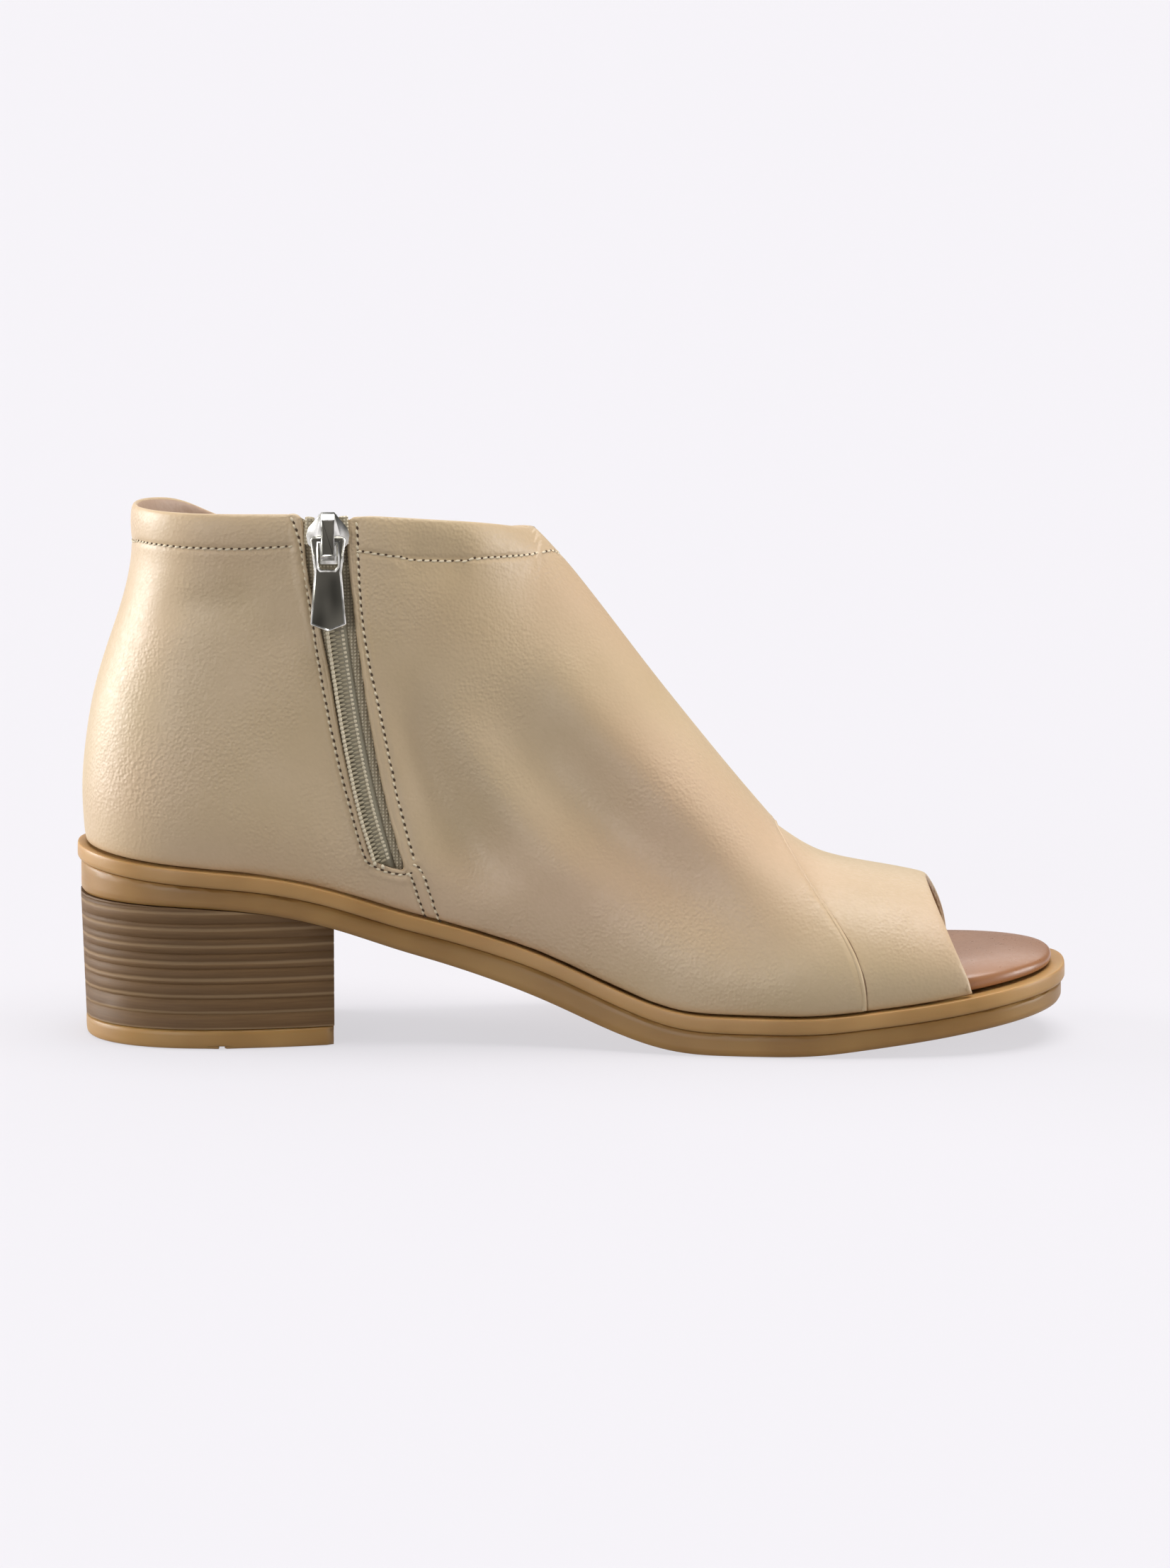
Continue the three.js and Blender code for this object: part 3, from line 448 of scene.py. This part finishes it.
def paintedReflectionMetal(name, dark, light, size, roughness):
    # plated metal with a painted reflection: its tone drifts as if it mirrored a room
    look = newLook(name, Roughness=roughness, Metallic=1)
    paintedReflection = noise(look, objectSpace(look, (1, 1, 0.5)), size, 1)
    feed(look, "Base Color", blendColour(look, fade(look, paintedReflection, 0.35, 0.65), dark, light))
    return look


paintedReflectionMetalLook = paintedReflectionMetal("slider metal painted reflection", (0.34, 0.33, 0.29), (0.86, 0.85, 0.80), 2.2, 0.18)
# the pull's face and the slider's front: a dark painted reflection on plated metal
darkPaintedReflectionLook = paintedReflectionMetal("pull face painted dark reflection", (0.04, 0.038, 0.031), (0.13, 0.123, 0.1), 7, 0.24)
print("looks made")


# where the upper is sewn: places in mm on the leather
stitchRows = {
    "zip_stitches_rear": [
        (30.7, 23.4, 135.7), (30.7, 25.5, 128.8), (30.7, 27.1, 118.4), (30.8, 28.6, 107.6),
        (30.8, 30.8, 93.2), (30.6, 34.8, 73.3), (29.7, 40.4, 51.8), (29.2, 42.3, 47.9),
        (28.7, 45.8, 45.9), (28.5, 49.2, 44.9), (28.6, 52.2, 45),
    ],
    "zip_stitches_front": [
        (30.1, 39.6, 134.4), (30.4, 39.9, 127.3), (30.3, 40.2, 118.3), (30.3, 41.2, 107.6),
        (30.2, 42.6, 98.5), (30, 44, 92.4), (29.7, 45.6, 84.4), (29.3, 47.7, 74.1),
        (28.9, 49.4, 65.3), (28.6, 51.2, 57.8), (28.5, 52.8, 51.7), (28.5, 53.6, 49.1),
    ],
    "seam_stitches_rear": [
        (28.5, 52.7, 44.7), (27.4, 54.3, 39.5), (26.3, 55.9, 34.4),
    ],
    "seam_stitches_front": [
        (28.4, 54, 47.3), (28.3, 55.4, 46), (27.8, 57, 41.5), (26.1, 59.6, 33),
    ],
    "collar_stitches_rear": [
        (0, -19.5, 127.5), (8.5, -18.8, 127.7), (15.8, -15.9, 128.4), (28, -4.7, 128.3),
        (31.2, 10.6, 128.1), (30.9, 23, 128.8),
    ],
    "collar_stitches_front": [
        (30.4, 40.3, 127.5), (29.8, 50.6, 126), (27.4, 63.9, 125.2), (20.3, 77.2, 125.1),
        (4.2, 90.4, 124.3),
    ],
    "collar_stitches_outer": [
        (0, -19.5, 127.5), (-12.9, -17.5, 127.3), (-22.9, -11.6, 126.6), (-29.2, -2.3, 122.8),
        (-31, 10.1, 118.4), (-31, 18.1, 116.4), (-31, 28.3, 115.1), (-31, 37.3, 114.4),
        (-30.5, 46.1, 114.4), (-28, 58.1, 115.2), (-21.5, 70.1, 118.5), (-13, 79, 120.5),
        (2.4, 90.4, 124),
    ],
}
# the turned edge round the zip, and the edges of vamp and toe band from the inner side over the foot
slotEdge = [
    (30.5, 25.9, 136.3), (30.6, 26.3, 129), (30.7, 27.3, 119.7), (30.7, 29.9, 109.1),
    (30.7, 32.4, 96.3), (30.7, 34.2, 85), (30.5, 36.2, 74.4), (30.2, 38.4, 64.5),
    (29.8, 40.7, 55.4), (29.3, 42.5, 49.2), (28.9, 44.6, 47.3), (28.5, 48, 46.3),
    (28.2, 51.2, 45.4), (28.2, 51.9, 46.8), (28.5, 50, 52), (29, 47.6, 61.2),
    (29.4, 45.4, 71.4), (29.9, 43.4, 82.5), (30.2, 41.5, 94.2), (30.4, 39.7, 107.7),
    (30.4, 38.5, 118.9), (30.3, 37.7, 128.6), (30.2, 37.3, 136.2),
]
vampEdge = [
    (41.6, 167.1, 12.5), (42.3, 166.5, 19.5), (40.1, 163.9, 26.9), (35.7, 159.5, 34),
    (29.6, 154, 41.6), (22.1, 149, 49.1), (14.6, 146, 53.5), (6.6, 145.1, 55),
    (-1.4, 143.1, 56.3), (-10.9, 136.8, 60.8), (-21.3, 126.1, 65.8), (-29.9, 114.4, 65.5),
    (-35.3, 104.9, 57.4), (-38.7, 99.4, 40.9), (-38, 98.1, 19.9),
]
toeEdge = [
    (37.3, 195.2, 16.2), (38.7, 193.2, 20.9), (37.5, 190.9, 26.3), (34.2, 188.7, 31.4),
    (29, 186.8, 35.8), (22.3, 185.4, 39.1), (15.1, 184.7, 40.8), (6.2, 184.5, 41.3),
    (-3.2, 184.8, 40.8), (-12.2, 185.8, 39), (-21.2, 187.6, 35.6), (-28.2, 189.5, 31.3),
    (-33.1, 191.2, 26.3), (-35.5, 192.2, 20.9), (-35, 192.5, 15.8),
]


upperShape = {
    "levels": 2,
    "overlap": {"degrees": 30, "weight": 0.85, "reach": 2.2},  # the vamp's edge, crisp within this many mm
    "sewnDepth": 0.4,  # mm: how far a row of stitches pulls the leather in
    "sewnWidth": 0.8,
    "sewnReach": 3.2,  # mm: faces nearer than this to a row, or to the lap, are divided
    "lapReach": 1.5,
    "cuts": 3,
    "turned": 0.3,  # mm: how far the turned edge round the zip stands proud, and how wide it is
    "turnedWidth": 3.4,
    # mm: the line inside the shoe from which outside is told, and its height before and behind the ankle
    "core": {"behind": 8, "heel": 1, "toe": 150, "ankle": 100, "lowTop": 45, "highTop": 100},
    "groove": {"aside": 0.9, "depth": 0.8, "width": 0.4},  # mm: a furrow beside the vamp's edge
    # soft troughs and ridges on the inner side: a line through (y, z), half width and depth in mm
    "creases": [
        {"line": [(43, 95), (55, 75), (67, 54), (79, 37)], "width": 9, "depth": -3.2},
        {"line": [(68, 101), (86, 74), (106, 55), (128, 37), (150, 18)], "width": 10, "depth": -3.4},
        {"line": [(82, 110), (97, 88), (117, 69), (139, 50)], "width": 9, "depth": 1.7},
        {"line": [(52, 94), (69, 74), (88, 51), (108, 31)], "width": 8, "depth": 1.4},
        {"line": [(48, 128), (58, 127), (70, 123)], "width": 7, "depth": -1.3},
        {"line": [(-16, 113), (2, 114), (18, 116)], "width": 5, "depth": -0.7},
    ],
    "ends": 0.3,  # the share of a crease's line over which it swells and fades
    "inner": (8, 10),  # mm: the creases begin at this x and are full this much further on
    "clear": (3, 9),  # mm: the same, counted from the zip's slot
}


def outwards(place, normal):
    # is the face on the outside of the wall: seen from a point inside the shoe on the same section
    core = upperShape["core"]
    y = min(max(place.y - core["behind"] * mm, core["heel"] * mm), core["toe"] * mm)
    top = core["lowTop"] if place.y > core["ankle"] * mm else core["highTop"]
    inside = Vector((0, y, min(place.z, top * mm)))
    return (place - inside).dot(normal) > 0


def treeOf(places):
    tree = KDTree(len(places))
    for i, place in enumerate(places):
        tree.insert(place, i)
    tree.balance()
    return tree


def smoothStep(t):
    t = max(0, min(1, t))
    return t * t * (3 - 2 * t)


def creaseLines():
    lines = []
    for crease in upperShape["creases"]:
        places = smoothPath([(0, y, z) for y, z in crease["line"]], 1)
        lines.append((crease, treeOf(places), len(places) - 1))
    return lines


def creaseAt(lines, place):
    push = 0
    for crease, tree, last in lines:
        i, away = tree.find((0, place.y, place.z))[1:]
        ends = smoothStep(min(i, last - i) / (upperShape["ends"] * last))
        push += crease["depth"] * ends * math.exp(-(away / mm / crease["width"]) ** 2)
    start, full = upperShape["inner"]
    return push * smoothStep((place.x / mm - start) / full)


def refineNear(piece, tree, reach, cuts):
    # divides the outside's faces near a row of places
    deselectMesh(piece, "FACE")
    for face in piece.data.polygons:
        face.select = outwards(face.center, face.normal) and tree.find(face.center)[2] < reach * mm
    bpy.ops.object.mode_set(mode="EDIT")
    bpy.ops.mesh.subdivide(number_cuts=cuts)
    bpy.ops.object.mode_set(mode="OBJECT")


def makeUpper(shape):
    piece = copyOfNode("upper", "upper_leather")
    overlap, groove = shape["overlap"], shape["groove"]
    vampTree = treeOf(smoothPath(vampEdge, 1))
    creaseSharp(piece, overlap["degrees"], overlap["weight"],
                lambda a, b: vampTree.find(0.5 * (a + b))[2] < overlap["reach"] * mm)
    subdivide(piece, shape["levels"])
    sewn = treeOf([p for points in stitchRows.values() for p in smoothPath(points, 0.5)])
    strip = treeOf(smoothPath(slotEdge, 0.5))
    lapRow = layOn(surfaceOf(piece), smoothPath(vampEdge, 0.5))
    lap = treeOf([p for p, along, normal in shiftAcross(lapRow, -groove["aside"])])
    refineNear(piece, sewn, shape["sewnReach"], shape["cuts"])
    refineNear(piece, lap, shape["lapReach"], shape["cuts"])
    lines = creaseLines()
    piece.data.materials.append(upperLeather)
    piece.data.materials.append(liningLeather)
    for face in piece.data.polygons:
        face.material_index = 0 if outwards(face.center, face.normal) else 1
    start, full = shape["clear"]
    moves = []
    for v in piece.data.vertices:
        toSlot = strip.find(v.co)[2] / mm
        move = Vector((creaseAt(lines, v.co) * smoothStep((toSlot - start) / full) * mm, 0, 0))
        if outwards(v.co, v.normal):
            toRow, toLap = sewn.find(v.co)[2] / mm, lap.find(v.co)[2] / mm
            sunk = shape["sewnDepth"] * math.exp(-(toRow / shape["sewnWidth"]) ** 2)
            sunk += groove["depth"] * math.exp(-(toLap / groove["width"]) ** 2)
            turned = shape["turned"] * max(0, 1 - (toSlot / shape["turnedWidth"]) ** 4)
            move += v.normal * (turned - sunk) * mm
        moves.append(move)
    for v, move in zip(piece.data.vertices, moves):
        v.co += move
    finishPiece(piece, upperLeather, stands=("upper",), smooth=70)
    return piece


upperPiece = makeUpper(upperShape)
upperSurface = surfaceOf(upperPiece)
print("upper made,", len(upperPiece.data.polygons), "faces")


stitches = {  # mm: the thread's length and width, and the hole between two stitches; the slant in degrees
    "pitch": 1.95,
    "lift": 0.05,
    "flat": 0.75,  # the thread's height as a share of its width
    "holeDepth": 0.24,
    "zip": {"length": 1.25, "width": 0.7, "hole": (1.05, 0.62), "slant": 14},
    "seam": {"length": 1.25, "width": 0.7, "hole": (1.05, 0.62), "slant": 14},
    "collar": {"length": 1.55, "width": 0.66, "hole": (0.8, 0.55), "slant": 10},
}


def oval(size, look, shift=0):
    bpy.ops.object.select_all(action="DESELECT")
    bpy.ops.mesh.primitive_uv_sphere_add(segments=8, ring_count=6, radius=0.5 * mm)
    made = bpy.context.active_object
    made.data.transform(Matrix.Diagonal((*size, 1)))
    made.data.transform(Matrix.Translation((shift * mm, 0, 0)))
    made.data.materials.append(look)
    return made


def stitchPattern(kind):
    thread = oval((kind["length"], kind["width"], stitches["flat"] * kind["width"]), threadLook)
    # the hole is a dark oval on the leather: painted shade of a needle hole
    hole = oval((*kind["hole"], stitches["holeDepth"]), holeShadeLook, 0.5 * stitches["pitch"])
    thread.select_set(True)
    bpy.context.view_layer.objects.active = thread
    bpy.ops.object.join()
    return thread


edgeBeads = [  # name, line, radius, lift off the leather and shift towards the toe in mm, look
    ("zip_turned_edge", slotEdge, 0.62, -0.35, 0, upperLeather),
    ("vamp_turned_edge", vampEdge, 0.7, 0, 0, upperLeather),
    # painted shade: a thin dark tube in the furrow beside the vamp's edge, standing in for its shadow
    ("vamp_groove_painted_shade", vampEdge, 0.42, -0.1, 0.95, paintedGrooveShadeLook),
    ("toe_turned_edge", toeEdge, 0.75, -0.75, 0, upperLeather),
]
beadPitch = 1.5

for name, points, radius, lift, ahead, look in edgeBeads:
    places = [p + Vector((0, ahead * mm, 0)) for p in smoothPath(points, beadPitch)]
    row = layOn(upperSurface, places, lift)
    finishPiece(tube(name, [p for p, along, normal in row], radius), look)
for rowName, rowPoints in stitchRows.items():
    kind = stitches[rowName.split("_")[0]]
    pattern = stitchPattern(kind)
    row = layOn(upperSurface, smoothPath(rowPoints, stitches["pitch"]), stitches["lift"])
    finishPiece(repeat(rowName, pattern, row, kind["slant"]), threadLook)
    bpy.data.objects.remove(pattern)
print("stitches made")


zipMiddle = [
    (30.4, 33, 121.5), (30.4, 34.6, 108), (30.3, 36.4, 95), (30.2, 38.1, 84),
    (29.9, 40.3, 72), (29.5, 43, 60), (28.6, 46.6, 47.6),
]
zipTape = {
    "top": (30, 31.6, 134),  # mm: the zip's middle line goes on to here behind the slider
    "rise": 1.1,  # mm: how far the tape comes forward inside the slot, this near to the middle line
    "reach": 4.6,
    "slope": 0.8,
    "endRadius": 1.2,
    "endPitch": 0.8,
    "ends": {
        "front": [(30.4, 36.7, 129.5), (30.7, 36.6, 133), (30.9, 36.4, 136.4)],
        "rear": [(30.4, 27.6, 129.5), (30.9, 27.7, 133), (31.3, 28.0, 136.2)],
    },
}
zipCoil = {  # mm
    "pitch": 1.1,
    "before": 2,  # the middle line is moved this far out before it is laid on the coil
    "loop": (0.8, 2.7, 0.7),  # along, across and out
    "link": (1.35, 1.05, 0.9),
    "stagger": 0.25,  # the share of the pitch by which the two halves differ from the middle
    "overlap": 0.42,  # the share of a loop's width by which each half stands aside
    "loopLift": 0.05,
    "chain": 1.95,  # each chain's distance from the middle
    "linkLift": 0.3,
}


def sinkFace(piece, rim, depth, wanted):
    # flat faces sunk inside a bright rim and given the second look, whose darker tone is painted reflection
    for side in (1, -1):
        deselectMesh(piece, "FACE")
        faces = [face for face in piece.data.polygons if wanted(face) and side * face.normal.x > 0]
        if not faces:
            continue
        broad = max(faces, key=lambda face: face.area)
        centre, out = broad.center.copy(), broad.normal.copy()
        for face in faces:
            face.select = True
        for i in {i for face in faces for i in face.vertices}:
            piece.data.vertices[i].co -= out * (piece.data.vertices[i].co - centre).dot(out)
        bpy.ops.object.mode_set(mode="EDIT")
        bpy.ops.mesh.dissolve_faces(use_verts=False)
        bpy.ops.mesh.inset(thickness=rim * mm, depth=-depth * mm, use_even_offset=True)
        bpy.context.object.active_material_index = 1
        bpy.ops.object.material_slot_assign()
        bpy.ops.object.mode_set(mode="OBJECT")


def makeTape():
    tape = copyOfNode("zip_tape", "zip_tape_cloth")
    subdivide(tape, 2)
    middle = treeOf(smoothPath([(0, y, z) for x, y, z in [zipTape["top"], *zipMiddle]], 0.5))
    for v in tape.data.vertices:
        away = middle.find((0, v.co.y, v.co.z))[2] / mm
        v.co.x += zipTape["rise"] * smoothStep((zipTape["reach"] - away) / zipTape["slope"]) * mm
    finishPiece(tape, tapeLook, stands=("zip_tape",))
    for label, points in zipTape["ends"].items():
        end = tube("zip_tape_end_" + label, smoothPath(points, zipTape["endPitch"]), zipTape["endRadius"])
        finishPiece(end, tapeLook)


def makeCoil():
    bed = copyOfNode("zip_coil", "zip_coil_bed")
    finishPiece(bed, coilBedLook, stands=("zip_coil",))
    before = Vector((zipCoil["before"] * mm, 0, 0))
    row = layOn(surfaceOf(bed), [p + before for p in smoothPath(zipMiddle, zipCoil["pitch"])])
    loop = oval(zipCoil["loop"], coilLook)
    link = oval(zipCoil["link"], chainLook)
    for side, label in ((1, "front"), (-1, "rear")):
        stagger = zipCoil["stagger"] * side * zipCoil["pitch"] * mm
        half = [(p + along * stagger, along, normal) for p, along, normal in row]
        aside = zipCoil["overlap"] * side * zipCoil["loop"][1]
        coil = repeat("zip_coil_" + label, loop, shiftAcross(half, aside, zipCoil["loopLift"]))
        finishPiece(coil, coilLook)
        links = shiftAcross(row, side * zipCoil["chain"], zipCoil["linkLift"])
        finishPiece(repeat("zip_chain_" + label, link, links), chainLook)
    bpy.data.objects.remove(loop)
    bpy.data.objects.remove(link)


sliderShape = {"bevel": 0.28, "degrees": 35, "rim": 0.3, "sunk": 0.2}  # mm
pullShape = {"bevel": 0.32, "degrees": 50, "rim": 0.28, "sunk": 0.22}
frontDepth = 0.4  # mm: the slider's faces this near to its front are sunk
facing = {"slider": 0.97, "pull": 0.98}  # and face the side at least this squarely


def sliderFront(piece):
    front = max(v.co.x for v in piece.data.vertices)
    return lambda face: face.normal.x > facing["slider"] and face.center.x > front - frontDepth * mm


def pullSides(piece):
    return lambda face: abs(face.normal.x) > facing["pull"]


def makeMetal(node, name, body, shape, sunkFaces):
    piece = copyOfNode(node, name)
    inEditMode(piece, (bpy.ops.mesh.dissolve_limited, {"angle_limit": math.radians(2)}))
    piece.data.materials.append(paintedReflectionMetalLook)
    piece.data.materials.append(darkPaintedReflectionLook)
    modify(piece, "BEVEL", width=shape["bevel"] * mm, segments=3, limit_method="ANGLE",
           angle_limit=math.radians(shape["degrees"]))
    sinkFace(piece, shape["rim"], shape["sunk"], sunkFaces(piece))
    finishPiece(piece, paintedReflectionMetalLook, body=body, stands=(node,), smooth=22)
    for face in piece.data.polygons:
        face.use_smooth = face.material_index == 0


makeTape()
makeCoil()
makeMetal("zip_slider", "zip_slider_body", "shoe", sliderShape, sliderFront)
makeMetal("zip_pull", "zip_pull_tab", "pull_tab", pullShape, pullSides)
print("zip made")


soleShape = {
    "levels": 2,
    "rimDegrees": 28,  # level edges of welt and outsole that turn more than this stay sharp
    "liftDegrees": 50,
    "bevel": 0.45,  # mm: on the heel block's edges
    "bevelDegrees": 55,
    "raise": {"outsole": 0.35, "heel_block": 0.3, "heel_lift": 0.3},  # mm: up to the piece above
}


def raiseTop(piece, by):
    # closes the gap that the solids leave above a piece
    upwards = 0.6
    for v in piece.data.vertices:
        if v.normal.z > upwards:
            v.co.z += by * mm


def grooveLayers(block, settings):
    # a shallow groove between the layers of the stack
    depth, half = settings["joint"]
    close = 0.02  # mm
    upright = 0.5  # walls have less than this of their normal upwards
    foot, top = (edge(v.co.z for v in block.data.vertices) / mm for edge in (min, max))
    levels = [settings["foot"] + k * settings["layer"] for k in range(1, settings["layers"])]
    levels = [level for level in levels if foot < level < top - settings["clearTop"]]
    cuts = []
    for level in levels:
        for z in (level - half, level, level + half):
            cuts.append((bpy.ops.mesh.select_all, {"action": "SELECT"}))
            cuts.append((bpy.ops.mesh.bisect, {"plane_co": (0, 0, z * mm), "plane_no": (0, 0, 1)}))
    inEditMode(block, *cuts)
    for v in block.data.vertices:
        if abs(v.normal.z) < upright and min(abs(v.co.z / mm - level) for level in levels) < close:
            v.co -= Vector((v.normal.x, v.normal.y, 0)).normalized() * depth * mm


def makeSole(shape):
    for node, name, look, slot in (("welt", "welt_rim", weltLook, "welt_rubber"),
                                   ("outsole", "outsole_band", outsoleLook, "sole_rubber"),
                                   ("insole", "insole_cover", insoleLook, "insole_leather")):
        piece = copyOfNode(node, name)
        if node == "insole":
            subdivide(piece, shape["levels"])
        else:
            creaseSharp(piece, shape["rimDegrees"], wanted=runsLevel)
            subdivide(piece, shape["levels"])
        if node in shape["raise"]:
            raiseTop(piece, shape["raise"][node])
        finishPiece(piece, look, stands=(node,))
    block = copyOfNode("heel_block", "heel_layers")
    inEditMode(block, (bpy.ops.mesh.dissolve_limited, {"angle_limit": math.radians(0.5)}))
    modify(block, "BEVEL", width=shape["bevel"] * mm, segments=2, limit_method="ANGLE",
           angle_limit=math.radians(shape["bevelDegrees"]))
    raiseTop(block, shape["raise"]["heel_block"])
    grooveLayers(block, heelColours)
    finishPiece(block, heelLook, stands=("heel_block",), smooth=25)
    lift = copyOfNode("heel_lift", "heel_lift_piece")
    creaseSharp(lift, shape["liftDegrees"])
    subdivide(lift, shape["levels"])
    raiseTop(lift, shape["raise"]["heel_lift"])
    finishPiece(lift, outsoleLook, stands=("heel_lift",), smooth=45)


makeSole(soleShape)
print("sole and heel made")


stage = {"floor": (0.178, 0.173, 0.181), "glow": (0.981, 0.96, 1.0), "glowStrength": 0.645,
         "world": (0.95, 0.95, 0.98), "strength": 0.19, "size": 80}


def makeStage():
    bpy.ops.object.select_all(action="DESELECT")
    bpy.ops.mesh.primitive_plane_add(size=stage["size"])
    floor = bpy.context.active_object
    floor.name = "studio_floor"
    look = newLook("floor", Base_Color=(*stage["floor"], 1), Roughness=0.9, Specular_IOR_Level=0,
                   Emission_Color=(*stage["glow"], 1), Emission_Strength=stage["glowStrength"])
    floor.data.materials.append(look)
    floor.visible_diffuse = False  # a cut-out photo has no light from the floor on its shoe
    world = bpy.data.worlds.new("studio")
    bpy.context.scene.world = world
    world.use_nodes = True
    background = world.node_tree.nodes["Background"]
    background.inputs["Color"].default_value = (*stage["world"], 1)
    background.inputs["Strength"].default_value = stage["strength"]
    bpy.context.scene.view_settings.view_transform = "Standard"


lamps = [  # suns: where each stands, how soft it is in degrees, and its strength
    {"name": "rim", "place": (-0.258, -0.962, 0.087), "spread": 40, "power": 5.50},
    {"name": "front", "place": (0.863, -0.498, 0.087), "spread": 40, "power": 1.76},
    {"name": "side", "place": (0.000, 0.996, 0.087), "spread": 40, "power": 2.90},
    {"name": "top", "place": (0.049, 0.12, 0.979), "spread": 40, "power": 2.60},
    {"name": "back", "place": (-0.8, 0.0, 0.9), "spread": 60, "power": 1.0},
]


def makeLamps():
    for lamp in lamps:
        light = bpy.data.lights.new(lamp["name"], "SUN")
        light.angle = math.radians(lamp["spread"])
        light.energy = lamp["power"]
        made = bpy.data.objects.new(lamp["name"], light)
        made.rotation_euler = (-Vector(lamp["place"])).to_track_quat("-Z", "Y").to_euler()
        bpy.context.scene.collection.objects.link(made)


view = {"place": (1.625, 0.0971, 0.301), "aim": (0, 0.0971, 0.064), "lens": 146.3, "sensor": 36}


def makeCamera():
    bpy.ops.object.camera_add(location=view["place"])
    camera = bpy.context.active_object
    camera.rotation_euler = (Vector(view["aim"]) - camera.location).to_track_quat("-Z", "Y").to_euler()
    camera.data.lens = view["lens"]
    camera.data.sensor_width = view["sensor"]
    camera.data.sensor_fit = "AUTO"
    camera.data.clip_end = 100
    bpy.context.scene.camera = camera


makeStage()
makeLamps()
makeCamera()
print("stage set")
